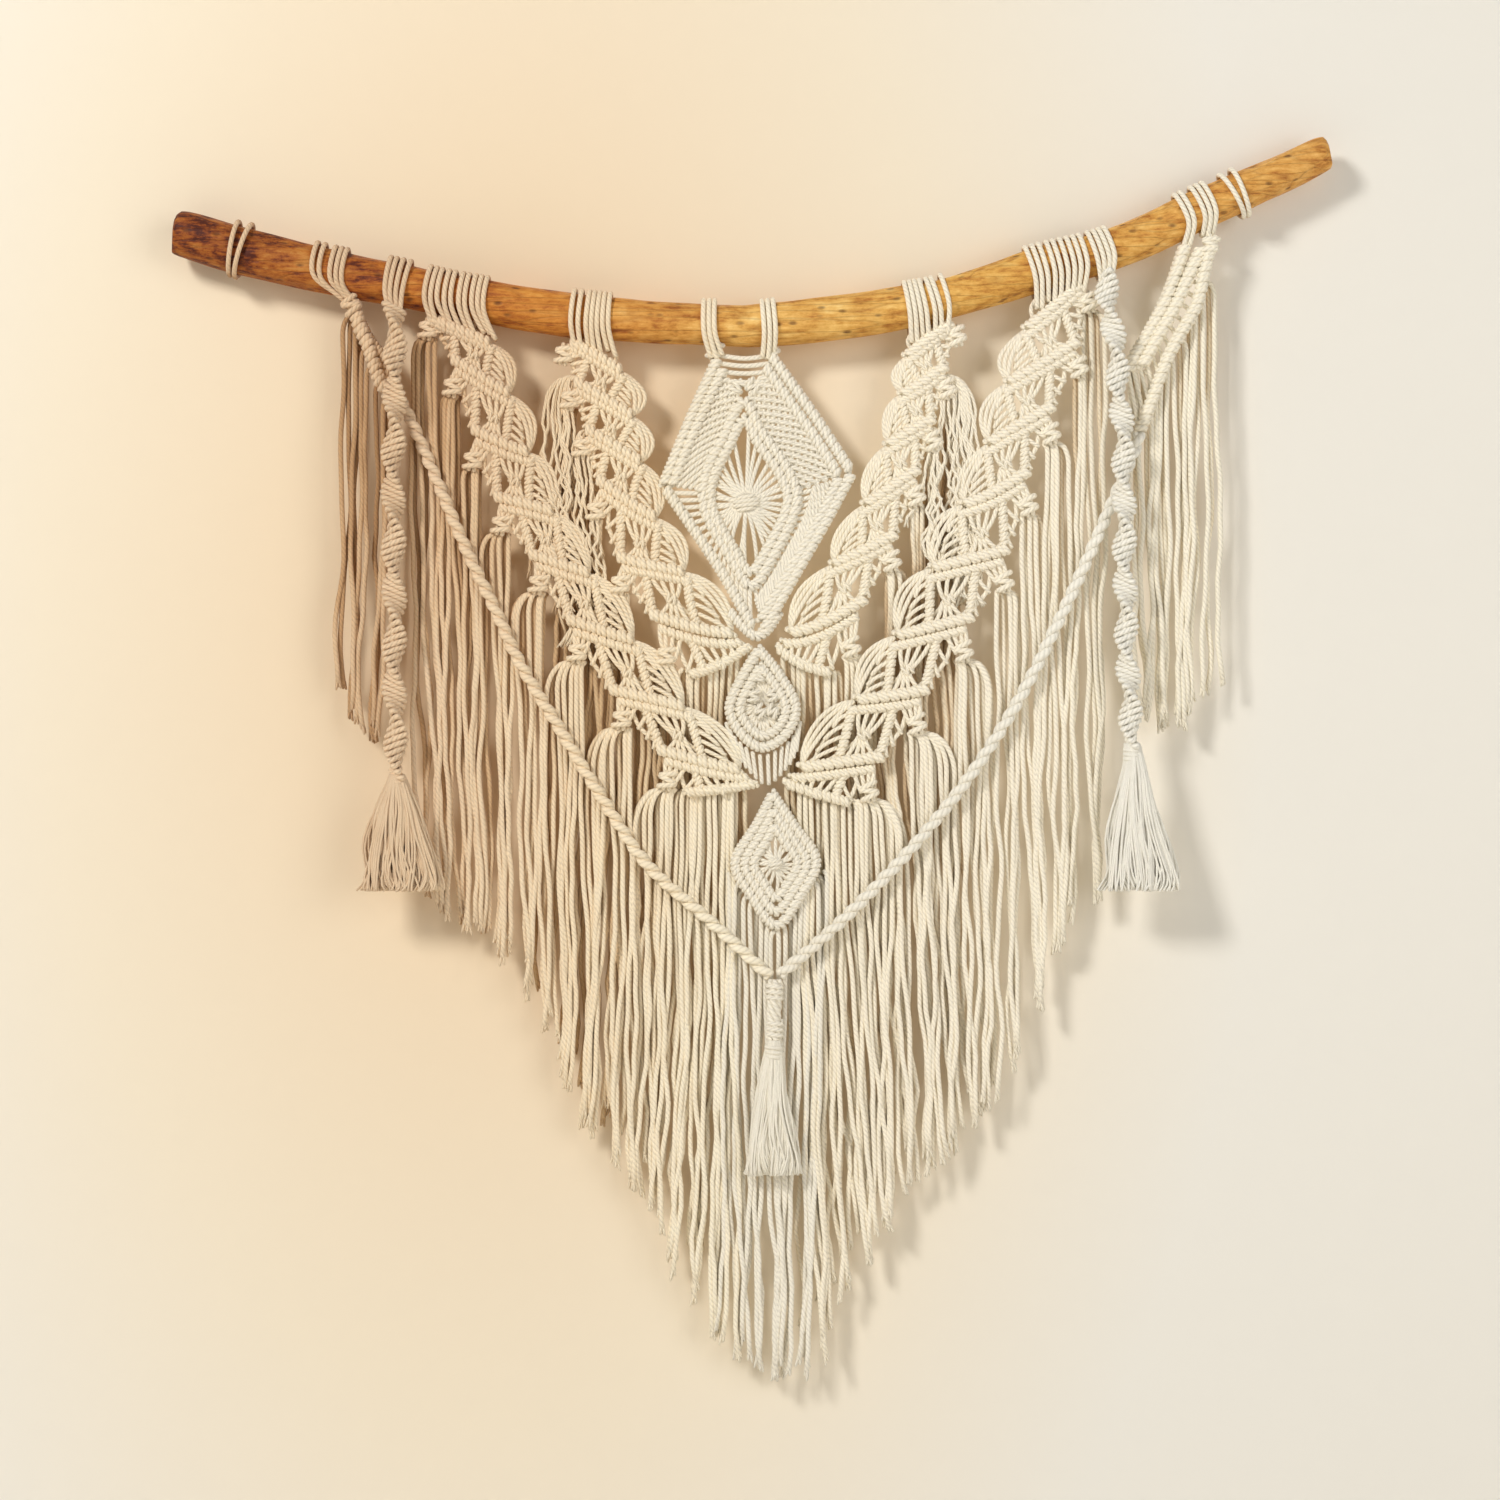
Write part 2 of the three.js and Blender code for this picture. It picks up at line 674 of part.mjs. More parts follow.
const SPIRAL_LEFT = [
  { x: -283, y: -18, z: 11.2 },
  { x: -283, y: -19, z: -8 },
  { x: -281, y: LAYER.spiral, z: -36 },
  { x: -282, y: LAYER.spiral, z: -62 },
  { x: -283, y: LAYER.spiral, z: -137 },
  { x: -282, y: LAYER.spiral, z: -220 },
  { x: -282, y: LAYER.spiral, z: -292 },
  { x: -280, y: LAYER.spiral, z: -359 },
];
const SPIRAL_RIGHT = [
  { x: 283, y: -18, z: 37.2 },
  { x: 284, y: -19, z: 22 },
  { x: 288, y: LAYER.spiral, z: -8 },
  { x: 292, y: LAYER.spiral, z: -46 },
  { x: 296, y: LAYER.spiral, z: -100 },
  { x: 297, y: LAYER.spiral, z: -188 },
  { x: 299, y: LAYER.spiral, z: -262 },
  { x: 303, y: LAYER.spiral, z: -334 },
];
const SPIRAL_STEPS = 9;
add('spiral_left', tube(SPIRAL_LEFT, SPIRAL_THICK, SPIRAL_STEPS, 10), cotton);
add('spiral_right', tube(SPIRAL_RIGHT, SPIRAL_THICK, SPIRAL_STEPS, 10), creamCotton);

add('tassel_left', tassel([
  { x: -280, y: LAYER.spiral, z: -359.5, width: 14, depth: 14 },
  { x: -280, y: LAYER.spiral, z: -370, width: 22, depth: 16 },
  { x: -279, y: LAYER.spiral, z: -392, width: 38, depth: 20 },
  { x: -278, y: LAYER.spiral, z: -418, width: 52, depth: 23 },
  { x: -277, y: LAYER.spiral, z: -440, width: 59, depth: 24 },
  { x: -277, y: LAYER.spiral, z: -450, width: 52, depth: 20 },
]), cotton);
add('tassel_right', tassel([
  { x: 303.2, y: LAYER.spiral, z: -334.8, width: 15, depth: 14 },
  { x: 305, y: LAYER.spiral, z: -352, width: 18, depth: 15 },
  { x: 306, y: LAYER.spiral, z: -380, width: 32, depth: 19 },
  { x: 308, y: LAYER.spiral, z: -410, width: 46, depth: 22 },
  { x: 310, y: LAYER.spiral, z: -438, width: 58, depth: 24 },
  { x: 309, y: LAYER.spiral, z: -449, width: 54, depth: 20 },
]), creamCotton);

// ---------------------------------------------------------------- swags across the front

const SWAG_THICK = 11;
const SWAG_STEPS = 30;
const SWAG_LEFT = [
  { x: -277.4, y: -8, z: -63.2 },
  { x: -270, y: -8, z: -78 },
  { x: -253, y: -9, z: -117 },
  { x: -227, y: LAYER.swag, z: -178 },
  { x: -204, y: LAYER.swag, z: -226 },
  { x: -182, y: LAYER.swag, z: -273 },
  { x: -151, y: LAYER.swag, z: -324 },
  { x: -118, y: LAYER.swag, z: -378 },
  { x: -82, y: LAYER.swag, z: -431 },
  { x: -31, y: LAYER.swag, z: -477 },
  { x: 15.5, y: LAYER.swag, z: -519.9 },
];
const SWAG_RIGHT = [
  { x: 310.5, y: -8, z: -87.3 },
  { x: 308, y: -8, z: -98 },
  { x: 297, y: -8, z: -124 },
  { x: 271, y: LAYER.swag, z: -183 },
  { x: 246, y: LAYER.swag, z: -237 },
  { x: 218, y: LAYER.swag, z: -293 },
  { x: 190, y: LAYER.swag, z: -339 },
  { x: 159, y: LAYER.swag, z: -382 },
  { x: 118, y: LAYER.swag, z: -430 },
  { x: 72, y: LAYER.swag, z: -477 },
  { x: 24, y: LAYER.swag, z: -519 },
];
add('swag_left', tube(SWAG_LEFT, SWAG_THICK, SWAG_STEPS, 8), cotton);
add('swag_right', tube(SWAG_RIGHT, SWAG_THICK, SWAG_STEPS, 8), creamCotton);
add('swag_tail', tassel([
  { x: 20, y: LAYER.swag, z: -523.5, width: 14, depth: 13 },
  { x: 20, y: LAYER.swag, z: -532, width: 14, depth: 13 },
  { x: 19, y: LAYER.swag, z: -552, width: 12, depth: 12 },
  { x: 19, y: LAYER.swag, z: -571, width: 13, depth: 12 },
]), creamCotton);
add('swag_tassel', tassel([
  { x: 19, y: LAYER.swag, z: -571.4, width: 13, depth: 12 },
  { x: 19, y: LAYER.swag, z: -584, width: 17, depth: 13 },
  { x: 18, y: LAYER.swag - 2, z: -620, width: 30, depth: 16 },
  { x: 18, y: LAYER.swag - 3, z: -655, width: 41, depth: 18 },
  { x: 18, y: LAYER.swag - 3, z: -675, width: 44, depth: 18 },
]), creamCotton);

export default hanging;
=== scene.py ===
import math

import bpy
import numpy as np
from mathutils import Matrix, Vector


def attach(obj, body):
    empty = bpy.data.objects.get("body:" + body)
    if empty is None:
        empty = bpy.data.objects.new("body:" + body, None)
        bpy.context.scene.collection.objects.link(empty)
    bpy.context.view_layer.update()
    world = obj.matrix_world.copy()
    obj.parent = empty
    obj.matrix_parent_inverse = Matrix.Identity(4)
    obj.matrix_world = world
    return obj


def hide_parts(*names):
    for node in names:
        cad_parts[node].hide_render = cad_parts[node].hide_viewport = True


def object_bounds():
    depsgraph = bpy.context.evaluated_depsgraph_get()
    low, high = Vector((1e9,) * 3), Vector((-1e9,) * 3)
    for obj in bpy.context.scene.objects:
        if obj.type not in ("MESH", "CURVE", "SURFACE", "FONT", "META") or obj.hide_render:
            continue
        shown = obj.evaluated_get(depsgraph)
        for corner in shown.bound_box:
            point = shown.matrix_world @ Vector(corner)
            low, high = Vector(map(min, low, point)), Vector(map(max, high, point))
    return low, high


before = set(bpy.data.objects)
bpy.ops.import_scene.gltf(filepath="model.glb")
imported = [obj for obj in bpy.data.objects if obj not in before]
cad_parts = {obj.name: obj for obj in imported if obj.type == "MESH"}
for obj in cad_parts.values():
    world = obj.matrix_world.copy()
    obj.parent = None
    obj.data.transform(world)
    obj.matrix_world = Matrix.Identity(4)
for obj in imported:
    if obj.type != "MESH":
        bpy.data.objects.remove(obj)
cad_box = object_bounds()

# ---------------- camera, floor and light
# The hanging is seen square on from the front, as it hangs on its wall. A pale backdrop stands close
# behind it, so that the openwork throws its soft shadow there, and a pale floor lies below.

FRAME_WIDTH = 1.2  # width that the camera sees at the hanging, in metres
LENS = 85.0
SENSOR = 36.0
EYE_HEIGHT = -0.34

lens = bpy.data.cameras.new("camera")
lens.lens = LENS
lens.sensor_width = SENSOR
camera = bpy.data.objects.new("camera", lens)
camera.location = (0, -FRAME_WIDTH * LENS / SENSOR, EYE_HEIGHT)
camera.rotation_euler = (math.pi / 2, 0, 0)
bpy.context.collection.objects.link(camera)
bpy.context.scene.camera = camera
bpy.context.scene.view_settings.view_transform = "Standard"


class Wire:
    """A shader socket that takes part in Python arithmetic: each operator adds one Math node."""

    def __init__(self, tree, socket=None):
        self.tree = tree
        self.socket = socket

    def node(self, kind, inputs, output=0, stops=(), **settings):
        """Adds a node, makes its settings, colour stops and sockets, and gives one of its outputs. A
        stop is a place with its red, green and blue."""
        made = self.tree.nodes.new("ShaderNode" + kind)
        for name, value in settings.items():
            setattr(made, name, value)
        while stops and len(made.color_ramp.elements) < len(stops):
            made.color_ramp.elements.new(0.5)
        for number, (place, *colour) in enumerate(stops):
            made.color_ramp.elements[number].position = place
            made.color_ramp.elements[number].color = (*colour, 1)
        for key, value in inputs.items():
            if isinstance(value, Wire):
                self.tree.links.new(value.socket, made.inputs[key])
            else:
                made.inputs[key].default_value = value
        return Wire(self.tree, made.outputs[output])

    def math(self, operation, *values):
        return self.node("Math", dict(enumerate(values)), operation=operation)

    def coordinate(self, name="Object"):
        return self.node("TexCoord", {}, name)

    def part(self, place, axis):
        """One coordinate of a place."""
        return self.node("SeparateXYZ", {0: place}, axis)

    def scaled(self, place, scale):
        """A place with each of its axes scaled."""
        return self.node("Mapping", {"Vector": place, "Scale": scale})

    def noise(self, place, scale, detail, roughness=0.5):
        inputs = {"Vector": place, "Scale": scale, "Detail": detail, "Roughness": roughness}
        return self.node("TexNoise", inputs)

    def ramp(self, stops, fac):
        """The colour at fac between stops."""
        return self.node("ValToRGB", {"Fac": fac}, stops=stops)

    def mix(self, blend, share, first, second):
        inputs = {"Factor": share, 6: first, 7: second}
        return self.node("Mix", inputs, 2, data_type="RGBA", blend_type=blend)

    def bump(self, height, distance, strength):
        return self.node("Bump", {"Height": height, "Distance": distance, "Strength": strength})

    def __add__(self, other):
        return self.math("ADD", self, other)

    __radd__ = __add__

    def __sub__(self, other):
        return self.math("SUBTRACT", self, other)

    def __rsub__(self, other):
        return self.math("SUBTRACT", other, self)

    def __mul__(self, other):
        return self.math("MULTIPLY", self, other)

    __rmul__ = __mul__

    def __pow__(self, other):
        return self.math("POWER", self, other)


def new_material(name):
    """An empty node material and a bare Wire into its tree."""
    material = bpy.data.materials.new(name)
    material.use_nodes = True
    material.node_tree.nodes.clear()
    return material, Wire(material.node_tree)


def show(wire, shader):
    """Puts a shader on the material's output."""
    output = wire.tree.nodes.new("ShaderNodeOutputMaterial")
    wire.tree.links.new(shader.socket, output.inputs["Surface"])


def plane(name, corners, material):
    """A flat stage piece through four corners."""
    mesh = bpy.data.meshes.new(name)
    mesh.from_pydata(corners, [], [(0, 1, 2, 3)])
    piece = bpy.data.objects.new(name, mesh)
    piece.data.materials.append(material)
    bpy.context.collection.objects.link(piece)


STAGE_REACH = 6.0
SQUARE = [(-1, -1), (1, -1), (1, 1), (-1, 1)]
FLOOR_HEIGHT = cad_box[0][2] - 0.25
BACKDROP_DEPTH = cad_box[1][1] + 0.002
FLOOR_COLOUR = (0.80, 0.77, 0.71, 1)
# The wall's tan, darkened near the hanging by painted shadow, paling to cream further out.
BACKDROP_TAN_AND_PAINTED_SHADOW = [
    (0.0, 0.74, 0.56, 0.36), (0.3, 0.84, 0.69, 0.50), (0.6, 0.86, 0.76, 0.60), (1.0, 0.85, 0.82, 0.75),
]
BACKDROP_SHADOW_PLACE = (-0.20, BACKDROP_DEPTH, -0.11)
BACKDROP_SPREAD = 0.62  # distance from its darkest place, where the painted shadow is deepest, at which it is palest
BACKDROP_SCALE = (1.0, 1.0, 0.55)  # heights count for less than widths in that distance

floor_paint, wire = new_material("floor_paint")
show(wire, wire.node("BsdfDiffuse", {"Color": FLOOR_COLOUR}))
plane("floor", [(x * STAGE_REACH, y * STAGE_REACH, FLOOR_HEIGHT) for x, y in SQUARE], floor_paint)

# The backdrop is one-sided: it shows from the front only, and never keeps light from the hanging. Its
# colour goes softly from sand behind the openwork to pale cream, more slowly up and down than sideways:
# the sand is partly the wall's own tan and partly painted shadow of the hanging, darkest behind its upper
# left.
backdrop_paint, wire = new_material("backdrop_paint")
flattened = wire.scaled(wire.coordinate(), BACKDROP_SCALE)
ends = {0: flattened, 1: BACKDROP_SHADOW_PLACE}
from_shadow_place = wire.node("VectorMath", ends, "Value", operation="DISTANCE")
sand_and_shadow = wire.ramp(BACKDROP_TAN_AND_PAINTED_SHADOW, from_shadow_place * (1 / BACKDROP_SPREAD))
shadow_ray = wire.node("LightPath", {}, "Is Shadow Ray")
behind = wire.node("NewGeometry", {}, "Backfacing")
paint = wire.node("BsdfDiffuse", {"Color": sand_and_shadow})
clear = wire.node("BsdfTransparent", {})
open_side = wire.math("MAXIMUM", shadow_ray, behind)
show(wire, wire.node("MixShader", {0: open_side, 1: paint, 2: clear}))
plane("backdrop", [
    (x * STAGE_REACH, BACKDROP_DEPTH, FLOOR_HEIGHT if z < 0 else STAGE_REACH) for x, z in SQUARE
], backdrop_paint)


def lamp(name, place, size, power, colour):
    """A square soft lamp at place that faces the middle of the hanging."""
    light = bpy.data.lights.new(name, "AREA")
    light.size = size
    light.energy = power
    light.color = colour
    holder = bpy.data.objects.new(name, light)
    way = Vector((0, 0, EYE_HEIGHT)) - Vector(place)
    holder.location = place
    holder.rotation_euler = way.to_track_quat("-Z", "Y").to_euler()
    bpy.context.collection.objects.link(holder)


lamp("key_lamp", (-1.9, -2.6, 1.5), 0.7, 78, (1.0, 0.985, 0.96))
lamp("fill_lamp", (2.2, -2.8, 0.2), 2.0, 33, (1.0, 0.99, 0.98))
lamp("back_lamp", (0.6, 2.8, 0.8), 2.2, 40, (1.0, 0.99, 0.98))

world = bpy.data.worlds.new("studio_air")
world.use_nodes = True
air = world.node_tree.nodes["Background"].inputs
air["Color"].default_value = (1.0, 0.99, 0.97, 1)
air["Strength"].default_value = 0.25
bpy.context.scene.world = world

# ---------------- hanging spirals
# Two long sinnets of half knots hang from the branch near its ends. Each half knot takes one cord
# round the core cords and leaves the next a little turned, so that the sinnet winds by itself.

# Like all but the branch they are cotton cord: each cord is a line of points with a round skin, many of
# them make one piece, and the cloth is shaded by where it hangs.
MM = 0.001
CORD = 4.5  # thickness of the cotton cord, in millimetres
TWIST_PITCH = 13.0  # length in which a cord's strands wind once round it
TIP_SHARE = 0.4  # how far a cord's end is rounded, as a share of its radius
THIN_CORD = 1.9  # radius of a cord that is pulled tight


def smooth_line(points, places):
    """Catmull-Rom line through a table of points: at each place, counted in rows of the table, the
    cubic that passes through the two nearest rows with the slopes of their neighbours."""
    points = np.asarray(points, float)
    places = np.asarray(places, float)
    last = len(points) - 1
    row = np.clip(np.floor(places).astype(int), 0, last - 1)
    t = (places - row)[..., None]
    before = points[np.maximum(row - 1, 0)]
    start = points[row]
    end = points[row + 1]
    after = points[np.minimum(row + 2, last)]
    return 0.5 * (
        2 * start
        + (end - before) * t
        + (2 * before - 5 * start + 4 * end - after) * t**2
        + (3 * start - before - 3 * end + after) * t**3
    )


def even_line(points, count):
    """The same line with count points at equal distances along it."""
    fine = smooth_line(points, np.linspace(0, len(points) - 1, 40 * len(points)))
    run = np.insert(np.cumsum(np.linalg.norm(np.diff(fine, axis=0), axis=1)), 0, 0)
    wanted = np.linspace(0, run[-1], count)
    return np.stack([np.interp(wanted, run, fine[:, k]) for k in range(3)], axis=1)


def length_of(line):
    """The sum of the steps between a line's points."""
    return np.linalg.norm(np.diff(np.asarray(line, float), axis=0), axis=1).sum()


def unit(vectors):
    """Vectors of length one along the last axis."""
    return vectors / np.maximum(np.linalg.norm(vectors, axis=-1, keepdims=True), 1e-9)


def angles(count):
    """The angles of count even steps round a full turn."""
    return 2 * np.pi * np.arange(count) / count


def round_about(angle, first, second):
    """Cosine of the angle in the first direction plus its sine in the second."""
    return np.cos(angle)[..., None] * first + np.sin(angle)[..., None] * second


def side_ways(lines, closed):
    """For lines of shape (lines, points, 3), their direction at each point, and one square to it that
    turns as little as it can: the last point's one less its part along the line."""
    if closed:
        along = unit(np.roll(lines, -1, axis=1) - np.roll(lines, 1, axis=1))
    else:
        along = unit(np.gradient(lines, axis=1))
    ways = np.empty_like(lines)
    way = np.where(np.abs(along[:, 0, 1:2]) < 0.8, [[0, 1, 0]], [[1, 0, 0]])
    for k in range(lines.shape[1]):
        way = unit(way - along[:, k] * (way * along[:, k]).sum(-1, keepdims=True))
        ways[:, k] = way
    return along, ways


class Cordage:
    """Many cords that become one mesh. Sizes are in millimetres."""

    def __init__(self):
        self.count = 0
        self.points = []
        self.skins = []

    def add(self, points, faces, uvs):
        """Adds points, and faces by the numbers of their corners, each with its place on the map."""
        self.count += points.size // 3
        self.points.append(points.reshape(-1, 3))
        self.skins.append((faces.reshape(-1, faces.shape[-1]), uvs))

    def sleeves(self, rings, runs, poles):
        """Skins over rings of shape (sleeves, rings, sides, 3), with fans to the poles at their ends, or
        closed on themselves. The map's first number goes round, and its second is a ring's run."""
        many, stations, sides = rings.shape[:3]
        starts = self.count + np.arange(many)[:, None] * stations * sides
        i = np.arange(sides)
        j = (i + 1) % sides
        k = np.arange(runs.shape[1] - 1)[:, None] * sides
        after = (k + sides) % (stations * sides)
        quads = starts[..., None, None] + np.stack([k + i, k + j, after + j, after + i], axis=-1)
        left, low, high = np.broadcast_arrays(i / sides, runs[:, :-1, None], runs[:, 1:, None])
        right = left + 1 / sides
        self.add(rings, quads, np.stack([left, low, right, low, right, high, left, high], axis=-1))
        for tips, ring, (a, b) in zip(poles, (0, stations - 1), ((j, i), (i, j))):
            pole = self.count + np.arange(many)[:, None] + 0 * i
            first = starts + ring * sides
            round_it = np.stack([a, b, i], axis=-1)[None] / sides + np.zeros((many, 1, 1))
            fans = np.stack([first + a, first + b, pole], axis=-1)
            self.add(tips, fans, np.stack([round_it, 0 * round_it], axis=-1))

    def lay(self, lines, radius, sides=6, closed=False):
        """Round cords along lines of shape (lines, points, 3): a ring point is the line's point plus
        radius times cosine and sine of its angle in the two directions square to the line. The run
        counts the twists of the cord's strands."""
        lines = np.asarray(lines, float).reshape(-1, *np.shape(lines)[-2:])
        along, across = side_ways(lines, closed)
        radius = np.broadcast_to(np.asarray(radius, float), lines.shape[:2])[..., None]
        up = np.cross(along, across)
        ring = round_about(angles(sides), across[:, :, None], up[:, :, None])
        steps = np.linalg.norm(np.roll(lines, -1, axis=1) - lines, axis=2)
        steps = steps if closed else steps[:, :-1]
        runs = np.cumsum(np.insert(steps, 0, 0, axis=1), axis=1) / TWIST_PITCH
        tip = TIP_SHARE * radius * along
        poles = () if closed else (lines[:, 0] - tip[:, 0], lines[:, -1] + tip[:, -1])
        self.sleeves(lines[:, :, None] + radius[..., None] * ring, runs, poles)

    def piece(self, name, cloth, node):
        """Makes the object, puts it on the body and lets it stand for its CAD node. The cloth is a
        material with its slot; the slot is not used."""
        material, slot = cloth
        points = np.concatenate(self.points) * MM
        skins = sorted(self.skins, key=lambda skin: -skin[0].shape[1])
        corners = np.concatenate([faces.ravel() for faces, _ in skins])
        uvs = np.concatenate([uvs.ravel() for _, uvs in skins])
        sizes = np.concatenate([np.full(len(faces), faces.shape[1]) for faces, _ in skins])
        mesh = bpy.data.meshes.new(name)
        mesh.vertices.add(len(points))
        mesh.vertices.foreach_set("co", points.ravel())
        mesh.loops.add(len(corners))
        mesh.loops.foreach_set("vertex_index", corners)
        mesh.polygons.add(len(sizes))
        mesh.polygons.foreach_set("loop_start", np.cumsum(sizes) - sizes)
        mesh.update(calc_edges=True)
        mesh.uv_layers.new(name="round_and_along").data.foreach_set("uv", uvs)
        mesh.shade_smooth()
        mesh.materials.append(material)
        piece = bpy.data.objects.new(name, mesh)
        bpy.context.collection.objects.link(piece)
        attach(piece, "root")
        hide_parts(node)
        return piece


STRANDS = 3  # strands that are wound into a cord
PATCHES = 34.0  # how fine the paler and darker patches of the cotton are
FIBRES = 900.0  # how fine its fibres are
HAIRS = 1500.0  # how fine the hairs of brushed cotton are
HAIR_SCALE = (1.0, 1.0, 0.12)  # they are drawn out downwards
SHADE_MIDDLE = 0.415  # place in the table of tones and painted light at the middle of the branch
SHADE_FALL = 0.08  # how far a metre down moves it on, where a metre to the right moves it by 1
PAINTED_SHADE_MIDDLE = 0.60  # place on the scale of painted shade at the middle of the branch
PAINTED_SHADE_BACK = 42  # what a metre backwards adds to the painted shade
PAINTED_SHADE_UP = 0.8  # what a metre up adds to it
PAINTED_SHADE_RIGHT = 0.5  # what a metre to the right takes off it
GROOVE_SHADE = 0.16  # how much painted shade darkens the grooves between the strands


def cotton(name, slot, tones_and_light, twisted=True):
    """Strands wound round each cord: height is the half circle of each strand across it, and the
    grooves between the strands are painted darker, as shade. The colour pales from left to right and a
    little downwards: the cotton's own tone with painted light and shade. Cotton is painted duller and
    browner, as shade, the deeper and the higher it lies, most at the left. Brushed cotton has fine
    hairs in place of strands."""
    material, wire = new_material(name)
    place = wire.coordinate()
    across, depth, level = (wire.part(place, axis) for axis in "XYZ")
    patches = wire.noise(place, PATCHES, 3.0)
    fibre = wire.noise(place, FIBRES, 2.0)
    if twisted:
        uv = wire.coordinate("UV")
        strand = wire.math("FRACT", STRANDS * wire.part(uv, "X") + STRANDS * wire.part(uv, "Y")) * 2 - 1
        height = (1 - strand * strand) ** 0.5
    else:
        height = wire.noise(wire.scaled(place, HAIR_SCALE), HAIRS, 2.0)
    tone_and_light = wire.ramp(tones_and_light, across - SHADE_FALL * level + SHADE_MIDDLE + patches * 0.12)
    depth_shade = depth * PAINTED_SHADE_BACK - across * PAINTED_SHADE_RIGHT + level * PAINTED_SHADE_UP + PAINTED_SHADE_MIDDLE + patches * 0.1
    depth_shaded = wire.mix("MULTIPLY", 1.0, tone_and_light, wire.ramp(PAINTED_DEPTH_SHADE, depth_shade))
    groove_shade_and_fibre = 1 - GROOVE_SHADE + GROOVE_SHADE * height + (fibre - 0.5) * 0.12
    shaded_colour = wire.node("VectorMath", {0: depth_shaded, "Scale": groove_shade_and_fibre}, operation="SCALE")
    show(wire, wire.node("BsdfPrincipled", {
        "Base Color": shaded_colour, "Roughness": 0.92, "Specular IOR Level": 0.12, "Sheen Weight": 0.18,
        "Sheen Roughness": 0.6, "Normal": wire.bump(height * 0.75 + fibre * 0.35, 0.0008, 0.9),
    }))
    return material, slot


def tint(value):
    """One part of a colour, given as a display value of 0 to 255, as the shader's linear light."""
    return ((value / 255 + 0.055) / 1.055) ** 2.4 if value > 10 else value / 255 / 12.92


def tinted(rows):
    """Stops from rows of a place and a colour in display values."""
    return [(place, *map(tint, colour)) for place, *colour in rows]


# Undyed cotton and cream cord with painted light and shade: painted darker and warmer at the left end,
# paler towards the right and a little paler downwards: 0.1 is 10 cm.
COTTON_TONE_AND_PAINTED_LIGHT = tinted([
    (0.186, 225, 194, 158), (0.223, 234, 206, 172), (0.27, 237, 210, 175), (0.38, 249, 229, 196),
    (0.50, 254, 243, 218), (0.66, 255, 245, 224), (0.85, 254, 246, 226),
])
CREAM_TONE_AND_PAINTED_LIGHT = tinted([(0.30, 245, 231, 202), (0.50, 248, 240, 222), (0.80, 251, 247, 235)])
# Painted shade: cotton is painted duller and browner the deeper, the higher and the further left it lies:
# 0.1 is some 2.4 mm of depth.
PAINTED_DEPTH_SHADE = [(0.38, 1, 1, 1), (0.50, 0.92, 0.86, 0.78), (0.58, 0.75, 0.63, 0.50), (0.76, 0.58, 0.45, 0.32)]
cotton_cord = cotton("cotton_cord", "cotton", COTTON_TONE_AND_PAINTED_LIGHT)
cream_cord = cotton("cream_cord", "cream_cotton", CREAM_TONE_AND_PAINTED_LIGHT)

# The middle of each sinnet, from the branch down.
SPIRAL_LEFT = [
    (-283, -18, 11.2), (-283, -19, -8), (-281, -25, -36), (-282, -25, -62),
    (-283, -25, -137), (-282, -25, -220), (-282, -25, -292), (-280, -25, -359),
]
SPIRAL_RIGHT = [
    (283, -18, 37.2), (284, -19, 22), (288, -25, -8), (292, -25, -46),
    (296, -25, -100), (297, -25, -188), (299, -25, -262), (303, -25, -334),
]
KNOT_RISE = 4.6  # height of one half knot
KNOT_LONG = 8.5  # half of a knot's length across the sinnet, to the cord's middle
KNOT_DEEP = 2.3  # half of its depth
KNOT_TILT = 3.4  # how far a knot's cord rises across the front
CORE_REACH = 1.5  # from the sinnet's middle to the middle of a core cord
CORE_ANGLES = (0.6, 2.7, 4.8)  # where round the middle the core cords lie


def frames_along(line):
    """Unit directions along, to the side of and to the front of a line that runs down the wall."""
    along = unit(np.gradient(line, axis=0))
    side = unit(np.cross(along, [0.0, -1.0, 0.0]))
    return along, side, np.cross(side, along)


def half_knots(route, phase, half_turn):
    """Closed rings of cord one above another: ring k is an ellipse square to the route, turned by k
    times the knot's share of a half turn, and tilted so that its cord rises as it crosses."""
    count = int(length_of(route) / KNOT_RISE)
    middle = even_line(route, count)
    along, side, front = frames_along(middle)
    wide = round_about(phase + np.pi * np.arange(count) * KNOT_RISE / half_turn, side, front)
    deep = np.cross(along, wide)
    cosine, sine = np.cos(angles(18))[:, None], np.sin(angles(18))[:, None]
    ring = middle[:, None] + KNOT_LONG * cosine * wide[:, None] + KNOT_DEEP * sine * deep[:, None]
    return ring - KNOT_TILT * cosine * along[:, None]


def declare_cord(route):
    """Works out the points of a cord's route in metres, and does nothing more with them."""
    path = even_line(route, 60) * MM


# Each sinnet's phase where it starts, and the length in which it winds half a turn.
for side_name, route, cloth, phase, half_turn in (
    ("left", SPIRAL_LEFT, cotton_cord, 0.4, 38.0), ("right", SPIRAL_RIGHT, cream_cord, 1.9, 33.5),
):
    sinnet = Cordage()
    sinnet.lay(half_knots(route, phase, half_turn), CORD / 2, closed=True)
    core = even_line(route, 60)
    _, side, front = frames_along(core)
    for angle in CORE_ANGLES:
        sinnet.lay(core + CORE_REACH * round_about(np.array(angle), side, front), THIN_CORD)
    spiral = sinnet.piece(f"half_knot_sinnet_{side_name}", cloth, f"spiral_{side_name}")
    declare_cord(route)

# ---------------- swags
# Two heavy twists of cord go on from the bands at the ends, swing across the fringes and meet in the
# middle, where a tail and a tassel hang from them. Each is two thick cords laid round one another,
# which swell where they cross the front.

